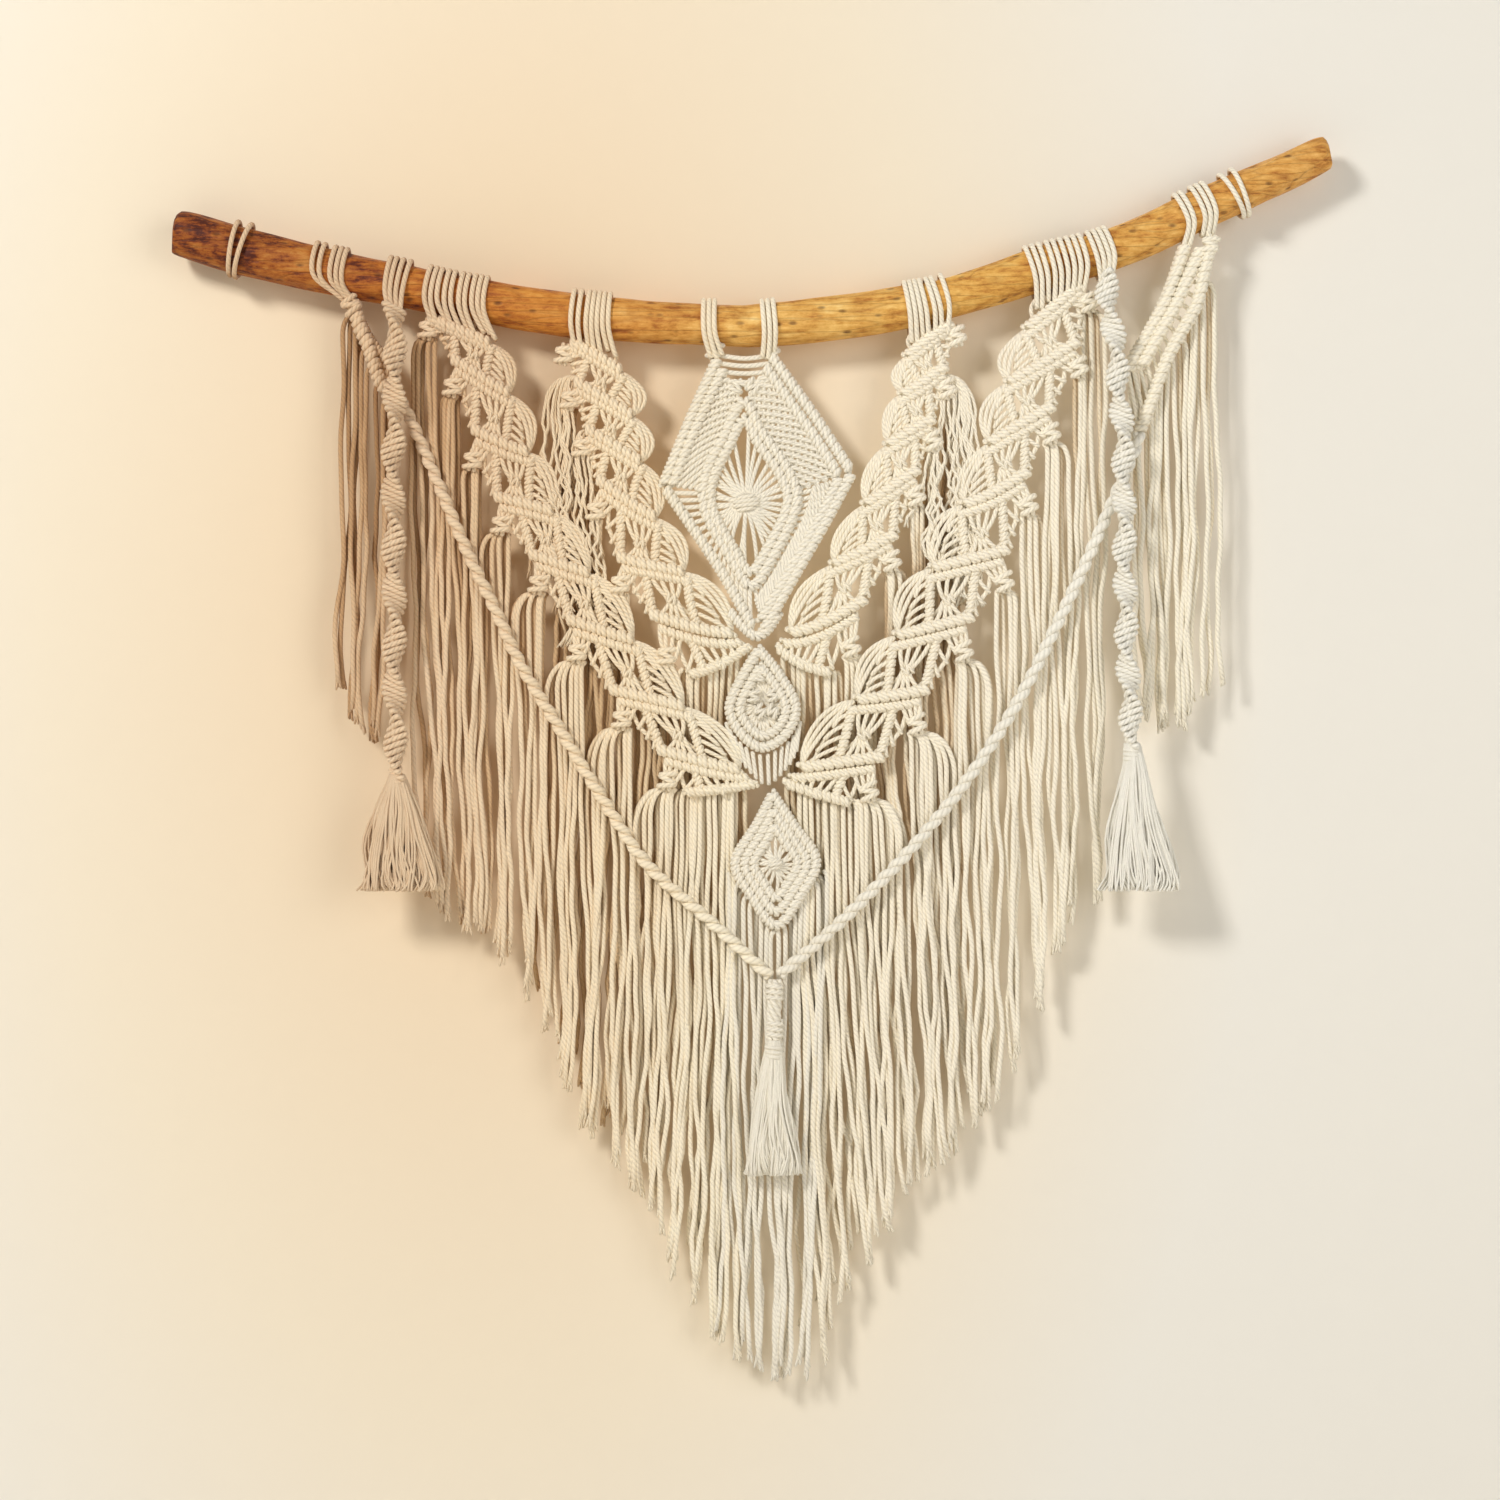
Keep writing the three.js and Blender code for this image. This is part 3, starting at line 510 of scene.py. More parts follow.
SWAG_LEFT = [
    (-277.4, -8, -63.2), (-270, -8, -78), (-253, -9, -117), (-227, -11, -178),
    (-204, -11, -226), (-182, -11, -273), (-151, -11, -324), (-118, -11, -378),
    (-82, -11, -431), (-31, -11, -477), (15.5, -11, -519.9),
]
SWAG_RIGHT = [
    (310.5, -8, -87.3), (308, -8, -98), (297, -8, -124), (271, -11, -183),
    (246, -11, -237), (218, -11, -293), (190, -11, -339), (159, -11, -382),
    (118, -11, -430), (72, -11, -477), (24, -11, -519),
]
SWAG_LAY = 25.0  # length in which a swag's two cords wind once round each other
SWAG_STRAND = 2.9  # radius of a cord
SWAG_REACH = 2.35  # from the swag's middle to a cord's
SWAG_SWELL = 0.2  # share by which a cord swells where it crosses the front


def wound(route, count, lay, reach, points, hand=1):
    """Strands laid round a route: strand k stands off it by reach at an angle of 2 pi times the share
    of the lay that has run, plus its share of a full turn. Also gives the sine of that angle, which is
    1 where a strand crosses the front."""
    middle = even_line(route, points)
    _, side, front = frames_along(middle)
    run = np.linspace(0, length_of(middle), points)
    angle = hand * 2 * np.pi * run / lay + angles(count)[:, None]
    return middle + reach * round_about(angle, side, front), np.sin(angle)


for side_name, route, cloth, hand, far_end in (
    ("left", SWAG_LEFT, cotton_cord, 1, "object"), ("right", SWAG_RIGHT, cream_cord, -1, "knot"),
):
    twist = Cordage()
    strands, facing = wound(route, 2, SWAG_LAY, SWAG_REACH, 320, hand)
    twist.lay(strands, SWAG_STRAND * (1 + SWAG_SWELL * facing), sides=8)
    swag = twist.piece(f"twisted_swag_{side_name}", cloth, f"swag_{side_name}")
    declare_cord(route)

# ---------------- tassels
# Each tassel is a bundle of cord ends, bound at the neck and brushed out until the strands part into
# fine wavy threads. The middle one hangs from a knotted tail where the swags meet.

TAIL = [(20, -11, -523.5), (20, -11, -532), (19, -11, -552), (19, -11, -571)]
TAIL_LAY = 42.0  # length in which its five cords wind once
TAIL_REACH = 3.9  # from the tail's middle to a cord's
TAIL_CORD = 2.2
TAIL_TIES = (-526.5, -531.0, -535.5, -556.0, -560.5, -565.0)  # heights of the turns that tie it
THREADS = 300
THREAD = 1.3  # radius of a thread
LOCKS = 22  # locks of threads round a tassel
LOCK_WAVE = 4.2  # how far a lock waves sideways at the hem


def brushed(table, seed):
    """Threads from a neck to a hem: each keeps its own share of the tassel's half width and depth and
    its own angle all the way down, and waves with its lock. The threads of a lock lie close together
    and end near one another, above or below the hem."""
    rng = np.random.default_rng(seed)
    lock = rng.integers(0, LOCKS, (THREADS, 1))
    angle = 2 * np.pi * lock / LOCKS + rng.normal(0, 0.11, (THREADS, 1))
    share = np.sqrt(rng.uniform(0.25, 1, (THREADS, 1))) * (1 - 0.12 * (lock % 3 == 0))
    end = 0.95 + 0.025 * (lock * 7 % 5) / 4 + rng.uniform(0, 0.025, (THREADS, 1))
    pace = 8 + 4 * np.sin(3 * lock) + rng.normal(0, 0.6, (THREADS, 1))
    run = np.linspace(0, 1, 14)
    x, y, z, width, depth = np.moveaxis(smooth_line(table, run * end * (len(table) - 1)), -1, 0)
    wave = LOCK_WAVE * run**1.2 * np.sin(pace * run + lock)
    return np.stack([
        x + share * np.cos(angle) * (width / 2 - THREAD) + wave,
        y + share * np.sin(angle) * (depth / 2 - THREAD) + 0.5 * wave,
        z,
    ], axis=-1), THREAD * (1 - 0.3 * run)


def binding(centre, wide, deep, rounds, rise=3.6):
    """Turns of cord round a neck, a flat ellipse that climbs by the rise in each turn."""
    t = np.linspace(0, 2 * np.pi * rounds, 14 * rounds)
    x, y, z = centre
    return np.stack([x + wide * np.cos(t), y + deep * np.sin(t), z - rise * t / (2 * np.pi)], axis=-1)


# Rows from the neck to the hem: place, width and depth.
TASSELS = {
    "tassel_left": [
        (-280, -25, -359.5, 13, 13), (-280, -25, -370, 22, 16), (-279, -25, -392, 43, 21),
        (-278, -25, -418, 59, 24), (-277, -25, -440, 64, 25), (-277, -25, -452, 66, 26),
    ],
    "tassel_right": [
        (303.2, -25, -334.8, 14, 13), (305, -25, -352, 20, 15), (306, -25, -380, 36, 20),
        (308, -25, -410, 52, 23), (310, -25, -438, 62, 25), (310, -25, -452, 66, 26),
    ],
    "swag_tassel": [
        (19, -11, -571.4, 12, 12), (19, -11, -584, 17, 13), (18, -13, -620, 30, 16),
        (18, -14, -655, 41, 18), (18, -14, -679, 47, 19),
    ],
}
# Paler tones for the brushed cream tassels, with the same painted light and shade from left to right.
PALE_TONE_AND_PAINTED_LIGHT = tinted([(0.30, 252, 243, 222), (0.80, 254, 250, 238)])
brushed_cotton = cotton("brushed_cotton", "cotton", COTTON_TONE_AND_PAINTED_LIGHT, twisted=False)
brushed_cream = cotton("brushed_cream", "cream_cotton", PALE_TONE_AND_PAINTED_LIGHT, twisted=False)
for number, (node, table) in enumerate(TASSELS.items()):
    bundle = Cordage()
    bundle.lay(*brushed(table, 40 + number), sides=5)
    x, y, z = table[0][:3]
    bundle.lay(binding((x, y, z - 3), 6.2, 5.8, 3), 1.6)
    bundle.piece(f"brushed_{node}", brushed_cotton if node == "tassel_left" else brushed_cream, node)

tail = Cordage()
tail.lay(wound(TAIL, 5, TAIL_LAY, TAIL_REACH, 40)[0], TAIL_CORD, sides=7)
for height in TAIL_TIES:
    tail.lay(binding((19.6, -11, height), 5.6, 5.2, 1, rise=2.5), THIN_CORD)
tail.piece("knotted_tail", cream_cord, "swag_tail")

# ---------------- branch
# A peeled and weathered driftwood branch, bowed down in the middle, with worn knots, drying cracks
# and blunt broken ends. It carries every loop and hangs on the wall.

BRANCH = [
    (-460, 74, 15), (-452, 72, 18), (-408, 60, 18.5), (-336, 42, 18), (-280, 32, 17.5),
    (-232, 22, 16.5), (-128, 6, 17.5), (-24, 0, 16.5), (16, 0, 17), (120, 13, 17.5),
    (160, 22, 16.5), (224, 42, 17.5), (288, 60, 16), (360, 92, 16.5), (416, 117, 15.5),
    (456, 136, 14), (463, 139, 10),
]
BRANCH_RINGS = 420
BRANCH_SIDES = 72
BRANCH_AROUND = 17  # radius at which distances round the branch are taken
# The blunt ends: place along X and share of the radius.
LEFT_END = [(-460.6, 0.45), (-460.2, 0.75), (-459.4, 0.92)]
RIGHT_END = [(462.4, 0.85), (462.9, 0.5)]
# Waves of the wood: height, length along X, waves round the branch and shift.
BRANCH_WAVES = [(0.45, 37, 2, 0), (0.35, 19, -1, 1), (0.22, 9, 5, 0), (0.16, 23, 9, 2)]
# Worn knots: place along X, angle round the branch, reach and height of the swelling.
BRANCH_KNOTS = [
    (-392, 1.9, 13, 1.2), (-306, 4.3, 12, 1.1), (-178, 4.9, 10, 1.0), (-62, 4.4, 12, 1.2),
    (74, 5.1, 11, 1.0), (196, 4.5, 12, 1.2), (318, 4.8, 10, 1.0), (430, 4.2, 11, 1.1),
]
KNOT_PIT = 1.9  # depth of the pit in the middle of each

fine_branch = smooth_line(BRANCH, np.linspace(0, len(BRANCH) - 1, 4000))


def branch_at(x):
    """Height of the branch's middle, its radius and its slope at places along X."""
    places, heights, radii = fine_branch[np.argsort(fine_branch[:, 0])].T
    ahead, behind = (np.interp(np.asarray(x) + step, places, heights) for step in (2, -2))
    return np.interp(x, places, heights), np.interp(x, places, radii), (ahead - behind) / 4


def branch_surface(x, angle, lift):
    """Points round the branch: its middle plus its radius and a lift, square to its slope. Angle 0 is
    up, and the angle grows over the front, which faces minus Y."""
    height, radius, slope = branch_at(x)
    steep = np.sqrt(1 + slope**2)
    reach = radius + lift
    return np.stack([
        x - slope / steep * reach * np.cos(angle),
        -reach * np.sin(angle),
        height + reach * np.cos(angle) / steep,
    ], axis=-1)


# The relief is waves along and round the branch, with a bell-shaped swelling and a narrow bell-shaped
# pit at each worn knot. The ends' rings are drawn in by their share.
body = [(x, 1.0) for x in np.linspace(-458, 461.5, BRANCH_RINGS)]
ring_x, end_share = np.array(LEFT_END + body + RIGHT_END).T[..., None]
ring_angle = angles(BRANCH_SIDES)[None]
relief = sum(
    high * np.sin(ring_x / long + waves * ring_angle + shift) for high, long, waves, shift in BRANCH_WAVES
)
for place, angle, reach, high in BRANCH_KNOTS:
    around = BRANCH_AROUND * np.angle(np.exp(1j * (ring_angle - angle)))
    far = ((ring_x - place) ** 2 * 0.6 + around**2) / reach**2
    relief = relief + high * np.exp(-3 * far) - KNOT_PIT * np.exp(-22 * far)
_, plain_radius, _ = branch_at(ring_x)
lift = (plain_radius + relief) * end_share - plain_radius
surface = branch_surface(ring_x + 0 * ring_angle, ring_angle, lift)
wood = Cordage()
wood.sleeves(surface[None], np.linspace(0, 1, len(surface))[None], surface[[0, -1]].mean(1)[:, None])

WHITE = (1, 1, 1)
BLACK = (0, 0, 0)
CRACK_COLOUR = (*map(tint, (82, 40, 14)), 1)
WOOD_SHADES = tinted([
    (0.36, 112, 54, 16), (0.43, 180, 116, 50), (0.50, 218, 162, 86), (0.58, 238, 190, 118),
    (0.68, 252, 222, 166),
])
# How the wood darkens towards its left end, partly its own weathering and partly painted shade: 0.1 is 10
# cm.
WOOD_STAIN_AND_SHADE = tinted([
    (0.0, 172, 122, 68), (0.10, 180, 134, 80), (0.22, 204, 158, 100), (0.34, 232, 198, 142),
    (0.5, 255, 255, 235), (0.7, 255, 255, 226), (0.95, 250, 240, 214),
])
driftwood, wire = new_material("weathered_driftwood")
place = wire.coordinate()
across = wire.part(place, "X")
# Grain, flecks, cracks and pits are all drawn out along the branch.
grain = wire.noise(wire.scaled(place, (14.0, 90.0, 90.0)), 2.2, 7.0, 0.7)
flecks = wire.noise(wire.scaled(place, (42.0, 90.0, 90.0)), 1.5, 6.0, 0.75)
stains = wire.noise(place, 21.0, 5.0, 0.65)
cells = {"Vector": wire.scaled(place, (4.0, 80.0, 80.0)), "Scale": 1.6}
cell_edges = wire.node("TexVoronoi", cells, "Distance", feature="DISTANCE_TO_EDGE")
crack = wire.ramp([(0.0, *WHITE), (0.06, *BLACK)], cell_edges)
spots = {"Vector": wire.scaled(place, (55.0, 120.0, 120.0)), "Scale": 1.0}
pit = wire.ramp([(0.10, *WHITE), (0.24, *BLACK)], wire.node("TexVoronoi", spots, "Distance"))
# The left end is blotched more strongly than the rest, and painted a little darker there as shade.
left_end = wire.math("MINIMUM", wire.math("MAXIMUM", across * -5.5 - 1.0, 0.0), 1.0)
blotches = grain * 0.40 + stains * 0.30 + flecks * 0.36 - 0.52
hue = wire.ramp(WOOD_SHADES, blotches * (1 + 1.3 * left_end) + 0.50 - 0.035 * left_end)
stained_and_shaded = wire.mix("MULTIPLY", 1.0, hue, wire.ramp(WOOD_STAIN_AND_SHADE, across + 0.5 + stains * 0.10 - 0.05))
marks = wire.math("MINIMUM", crack * 0.38 * stains + pit * flecks * 1.2, 0.9)
split = wire.mix("MIX", marks, stained_and_shaded, CRACK_COLOUR)
wood_height = grain * 0.4 + stains * 0.4 + flecks * 0.4 - crack * 0.3 - pit * 0.5
show(wire, wire.node("BsdfPrincipled", {
    "Base Color": split, "Roughness": 0.50 + 0.25 * grain, "Specular IOR Level": 0.35,
    "Normal": wire.bump(wood_height, 0.0016, 0.85),
}))
wood.piece("driftwood_branch", (driftwood, "driftwood"), "branch")

# ---------------- loops on the branch
# Every group of cords is folded over the branch and drops from its front to the first knots. The two
# wraps near the ends are the turns of the plain cord that the hanging is hung by.

LOOP_LIFT = CORD / 2 + 0.7  # from the wood to the middle of a loop's cord
LOOP_TURN = np.radians(np.linspace(-104, 112, 19))  # angles round the branch of a loop's points
BACK_END = 5.0  # how far behind its front end a loop's back end lies
LOOP_CORD = 2.05  # radius of a loop's cord
WRAP_CORD = 2.0  # radius of a wrap's cord


def loops(tops, lows, low_y, drop):
    """Cords folded over the branch: each comes up behind it, goes round it at its place along X and
    down in front. Both ends lie the drop below the underside, with the sideways shift mostly in the
    lower part, and each point off the wood is drawn a few times towards its neighbours' mean."""
    tops = np.asarray(tops, float)[:, None]
    lows = np.asarray(lows, float)[:, None]
    drop = np.broadcast_to(np.asarray(drop, float), tops[:, 0].shape)[:, None]
    turned = LOOP_TURN[None] + 0 * tops
    rounded = branch_surface(tops + 0 * turned, turned, LOOP_LIFT)
    height, radius, _ = branch_at(tops)
    fall = np.linspace(0.12, 1, 8)[None]
    share = np.stack([fall**1.2, fall, fall], axis=-1)
    end = np.stack([lows, low_y + 0 * lows, height - radius - drop], axis=-1)
    before = rounded[:, -1:] + (end - rounded[:, -1:]) * share
    behind = rounded[:, :1] + (end + [0, BACK_END, 0] - rounded[:, :1]) * share
    blend = np.clip((turned - 0.6) / 1.4, 0, 1) ** 2
    rounded[..., 0] += 0.12 * (lows - tops) * blend
    before[..., 0] += 0.12 * (lows - tops) * (1 - fall)
    lines = np.concatenate([behind[:, ::-1], rounded, before], axis=1)
    # The free parts are behind the wood, and from the front of the wood down.
    for _ in range(5):
        for first, last in ((1, 8), (20, lines.shape[1] - 1)):
            neighbours = lines[:, first - 1:last - 1] + lines[:, first + 1:last + 1]
            lines[:, first:last] = (neighbours + 2 * lines[:, first:last]) / 4
    return lines


# Where each cord of a group crosses the top of the branch, where it ends below, the depth of that end
# and its distance below the wood.
LOOP_GROUPS = {
    "head_left": ([-350, -344, -335, -330, -325.5], [-325, -322.5, -320, -317, -314], -8, 6),
    "spiral_left": ([-290, -285.5, -280.5, -275], [-286, -284, -281, -279], -16, 9),
    "outer_left": (
        [-259, -254, -249.4, -243.5, -238.5, -232, -227.4, -222, -217.4, -212.8],
        [-252, -248, -240, -236, -230, -225, -219, -212, -207, -203], -8, 12,
    ),
    "inner_left": (
        [-142.5, -136.6, -130.2, -126, -121.8, -117.6, -113.2],
        [-139, -134, -128.5, -124, -119, -113, -107], -8, 11,
    ),
    "panel_left": ([-37.6, -33.2, -29], [-31, -26, -22], -8, 11),
    "panel_right": ([11, 15.5, 20], [10, 14.5, 19], -8, 9),
    "inner_right": (
        [126, 130.2, 134.4, 138.7, 145.2, 149.5, 157], [129, 133.5, 138, 143, 148, 153, 157.5], -8, 11,
    ),
    "outer_right": (
        [225, 230, 235, 241, 246, 251.5, 257, 262.2, 267.4],
        [229, 233, 238, 243, 248, 253, 257, 261, 266], -8, 12,
    ),
    "spiral_right": ([274.5, 279.5, 284, 288.5], [280, 282, 285, 287], -16, 9),
    "head_right": ([347, 351.3, 359.5, 364, 368.4], [346, 350.5, 361, 365, 369], -8, 7),
}
for place, (tops, lows, low_y, drop) in LOOP_GROUPS.items():
    group = Cordage()
    jitter = 2.5 * np.sin(2.3 * np.arange(len(tops)))
    group.lay(loops(tops, lows, low_y, drop + jitter), LOOP_CORD, sides=7)
    group.piece(f"loop_{place}_cords", cotton_cord, f"loop_{place}")


def wraps(places, slants):
    """Closed turns of cord round the branch, each leaning by its slant from the top to the underside."""
    angle = angles(28)[None]
    x = np.asarray(places, float)[:, None] + np.asarray(slants, float)[:, None] * np.cos(angle)
    return branch_surface(x, angle + 0 * x, LOOP_LIFT + 0.6 * np.arange(len(places))[:, None])


for node, places, slants in (
    ("hang_wrap_left", [-412.5, -405], [-1.6, 1.4]),
    ("hang_wrap_right", [385, 391.5], [-2.2, 0.6]),
):
    turns = Cordage()
    turns.lay(wraps(places, slants), WRAP_CORD, sides=8, closed=True)
    turns.piece(f"{node}_turns", cotton_cord, node)

# ---------------- slanting bands
# Four bands lean in from the branch to the middle. In each, cords tied with double half hitches make
# raised ridges that cross the band, with short cords fanned between them, loose loops along the upper
# edge, and square knots along the lower edge where the fringe leaves.

BAND_LAYER = -6.0  # depth of the ridges' middle
HITCH_PITCH = 3.6  # length of one turn of a hitch along its core
HITCH_REACH = 2.5  # from the core's middle to the middle of the cord round it
HITCH_CORD = 2.15  # radius of the cord that is hitched
HITCH_LEAN = 2.0  # how far each turn leans along the ridge
HITCH_PAIR = 0.35  # how much closer every second turn stands
HITCH_POINTS = 9  # points of a turn
SQUARE_KNOT_WIDE = 5.6  # half of a square knot's width
SQUARE_KNOT_DEEP = 3.7  # half of its depth
SQUARE_KNOT_STEP = 4.2  # from one of its turns to the next
SQUARE_KNOT_SLANT = 1.6  # how far a turn rises at its side
SQUARE_KNOT_LONG = 8  # half the length of its core cords
SQUARE_KNOT_CORES = np.array([-2.0, 2.0])  # places across of its core cords
BACKING_PLACES = (0.1, 0.36, 0.64, 0.9)  # places across of the cords that run down behind a band
CROSSINGS = [(0.0, 1.14, 1.4), (0.18, 0.96, 0.4)]  # a cell's crossing ridges: shift, size and lift
STEEP_SIZE = 0.92  # size of its two steep ridges
KNOT_PLACE = np.array([-0.16, 0.40])  # place across and down of the knot that gathers its fringe
CLOSING_RISE = 0.34  # how far above a band's last row its closing ridge starts
CLOSING_FALL = 0.32  # how far that ridge falls across the band


def ridge(cords, route, size=1.0):
    """One ridge of double half hitches, a cord round a core: it stands off the route by the reach in
    the side and front directions by the cosine and sine of its turns, leans along the route, and every
    second turn stands a little closer to the one before, as the two turns of a double hitch do."""
    turns = max(int(round(length_of(even_line(route, 40)) / HITCH_PITCH / size)), 2)
    middle = even_line(route, turns * HITCH_POINTS)
    along, side, front = frames_along(middle)
    angle = np.linspace(0, 2 * np.pi * turns, turns * HITCH_POINTS)
    lean = size * (HITCH_LEAN * np.cos(angle) + HITCH_PAIR * np.sin(angle / 2))[:, None]
    hitches = middle + size * HITCH_REACH * round_about(angle, side, front) + lean * along
    cords.lay(hitches, size * HITCH_CORD)


def square_knot(cords, x, z, lean, size, y=-5.0):
    """A square knot: three turns of cord laid round two core cords, each an ellipse that rises to one
    side, by turns to the right and to the left."""
    middle = np.array([x, y, z])
    up = np.array([math.sin(lean), 0, math.cos(lean)])
    wide = np.array([math.cos(lean), 0, -math.sin(lean)])
    deep = np.array([0, SQUARE_KNOT_DEEP, 0])
    for level, hand in ((SQUARE_KNOT_STEP, 1), (0.0, -1), (-SQUARE_KNOT_STEP, 1)):
        rise = level + hand * SQUARE_KNOT_SLANT * np.cos(angles(16))[:, None]
        ring = round_about(angles(16), SQUARE_KNOT_WIDE * wide, deep) + rise * up
        cords.lay(middle + size * ring, size * HITCH_CORD, closed=True)
    down = np.linspace(-SQUARE_KNOT_LONG, SQUARE_KNOT_LONG, 6)[:, None] * up
    cores = down + SQUARE_KNOT_CORES[:, None, None] * wide
    cords.lay(middle + size * cores, size * THIN_CORD)


# The short cords of one cell: their radius and lift, their starts and ends in shares across and rows
# down, and how far each is bowed sideways by a half sine.
CELL = [
    # Fan from the ridge above to the knot in the middle of the cell, and on to the ridge below.
    (1.9, 0.5, [(0.42, 0.50), (0.56, 0.56), (0.70, 0.64), (0.82, 0.74)],
     [(0.46, 0.92), (0.50, 0.93), (0.55, 0.94), (0.60, 0.96)], [-0.03, -0.01, 0.02, 0.04]),
    (1.9, 0.5, [(0.44, 0.97), (0.48, 0.98), (0.52, 1.00), (0.57, 1.01)],
     [(0.16, 1.06), (0.24, 1.17), (0.36, 1.28), (0.52, 1.38)], [0.05, 0.02, -0.01, -0.03]),
    # Cords that pass from the steep right ridge under the loops.
    (1.8, -0.5, [(0.93, 0.86), (0.86, 1.00), (0.80, 1.14), (0.74, 1.26)],
     [(1.02, 1.12), (1.00, 1.28), (0.97, 1.42), (0.93, 1.54)], [0.05, 0.04, 0.03, 0.02]),
    # Cords from the ridge above to the knot at the lower edge.
    (1.9, -0.2, [(0.06, 0.14), (0.13, 0.19), (0.20, 0.26), (0.27, 0.33)],
     [(-0.16, 0.37), (-0.14, 0.40), (-0.11, 0.43), (-0.08, 0.47)], [-0.03, -0.02, 0.0, 0.02]),
    (1.8, -1.2, [(0.30, 0.50), (0.22, 0.66), (0.14, 0.80)],
     [(-0.04, 0.62), (-0.04, 0.80), (-0.05, 0.96)], [0.03, 0.02, 0.02]),
]


def knotted_band(name, node, table, fringe_side):
    """Lattice band between the two edges of its table. In each cell a double ridge goes from the fringe's
    edge down to the upper edge, and two steep single ridges go back to the next one, so that they
    frame a diamond with a knot and fans of short cords. Loops bulge outside the upper edge, and a
    square knot gathers the cords at the fringe's edge. Gives the places of those knots."""
    left, right = np.split(np.asarray(table, float), 2, axis=1)
    cords = Cordage()
    rows = len(left) - 1
    knots = []

    def at(across, down, lift=0.0):
        """Points of the band: down counts its rows, and across goes from the fringe's edge at 0 to the
        upper edge at 1 along the straight line between the two smooth edges."""
        across = np.asarray(across, float)
        down = np.clip(down, 0, rows - CLOSING_RISE + CLOSING_FALL * np.clip(across, 0, 1))
        start, end = smooth_line(left, down), smooth_line(right, down)
        share = across if fringe_side == "left" else 1 - across
        x, z = np.moveaxis(start + (end - start) * share[..., None], -1, 0)
        return np.stack([x, BAND_LAYER - lift + 0 * x, z], axis=-1)

    line = np.linspace(0, 1, 9)
    short = np.linspace(0, 1, 7)
    lean = 0.4 if fringe_side == "left" else -0.4
    # Cords that run down the whole band behind the ridges, and the ridge that closes its lower end.
    for place in BACKING_PLACES:
        down = np.linspace(0.0, rows - 0.15, 9 * rows)
        wobble = 0.09 * np.sin(2 * np.pi * down + 7 * place)
        cords.lay(at(place + wobble, down, -2.6), 2.0)
    ridge(cords, at(line, rows - CLOSING_RISE + CLOSING_FALL * line, 0.6))
    for row in range(rows):
        top = float(row)
        for shift, bold, lift in CROSSINGS:
            high = lift + 1.4 * np.sin(np.pi * line)
            ridge(cords, at(0.02 + 0.96 * line, top + shift + 0.66 * line, high), bold)
        spot = at(*KNOT_PLACE + [0, top])
        square_knot(cords, spot[0], spot[2], lean / 2, 1.08)
        knots.append((float(spot[0]), float(spot[2]) - 6))
        ridge(cords, at(0.36 - 0.28 * line, top + 0.42 + 0.56 * line, 0.4 - line), STEEP_SIZE)
        if row + 1 < rows:
            ridge(cords, at(0.97 - 0.42 * line, top + 0.78 + 0.62 * line, 0.6 - 1.6 * line), STEEP_SIZE)
        middle = at(0.50, top + 0.95)
        square_knot(cords, middle[0], middle[2], lean + math.pi / 2, 0.62, BAND_LAYER - 1.5)
        for radius, lift, starts, ends, bows in CELL:
            ways = np.subtract(ends, starts)[..., None] * short
            across, down = np.moveaxis(np.array(starts)[..., None] + ways, 1, 0)
            across = across + np.outer(bows, np.sin(np.pi * short))
            cords.lay(at(across, top + down, lift + 1.2 * np.sin(np.pi * short)), radius)
        for k in range(3 if row + 1 < rows else 0):
            bulge = 1.0 + (0.10 + 0.10 * k) * np.sin(np.pi * line) ** 0.8
            cords.lay(at(bulge, top + 0.70 + 0.93 * line, 0.2 - 1.0 * k), 1.95)
    cords.piece(name, cotton_cord, node)
    return knots


# Left edge and right edge of each band: their starts along X, and a row for each cell of its lattice.
BANDS = {
    "outer_left": [
        (-257, -214), (-238, -28, -202, -26), (-222, -84, -186, -72), (-204, -138, -170, -118),
        (-176, -184, -148, -166), (-146, -236, -116, -216), (-112, -292, -80, -270),
        (-74, -340, -38, -322), (-42, -386, 4, -367),
    ],
    "inner_left": [
        (-143, -109), (-140, -46, -98, -50), (-131, -84, -91, -86), (-122, -124, -83, -124),
        (-106, -186, -68, -170), (-80, -232, -42, -212), (-34, -298, -2, -258),
    ],
    "inner_right": [
        (126, 161), (124, -36, 156, -34), (118, -68, 146, -76), (104, -112, 134, -116),
        (84, -160, 116, -168), (56, -208, 92, -220), (22, -259, 52, -300),
    ],
    "outer_right": [
        (226, 264), (216, -18, 262, -14), (200, -62, 242, -66), (184, -112, 222, -118),
        (162, -160, 206, -180), (136, -212, 178, -234), (106, -266, 142, -292), (72, -316, 106, -346),
        (28, -367, 68, -394),
    ],
}
UNDER_LOOPS = 5  # how far below the branch the bands start
band_knots = {}
for where, (starts, *rows) in BANDS.items():
    height, radius, _ = branch_at(starts)
    first_row = np.stack([starts, height - radius - UNDER_LOOPS], axis=1).ravel()
    level, side_name = where.split("_")
    node = f"{level}_band_{side_name}"
    band_knots[where] = knotted_band(f"lattice_{where}", node, [first_row, *rows], side_name)

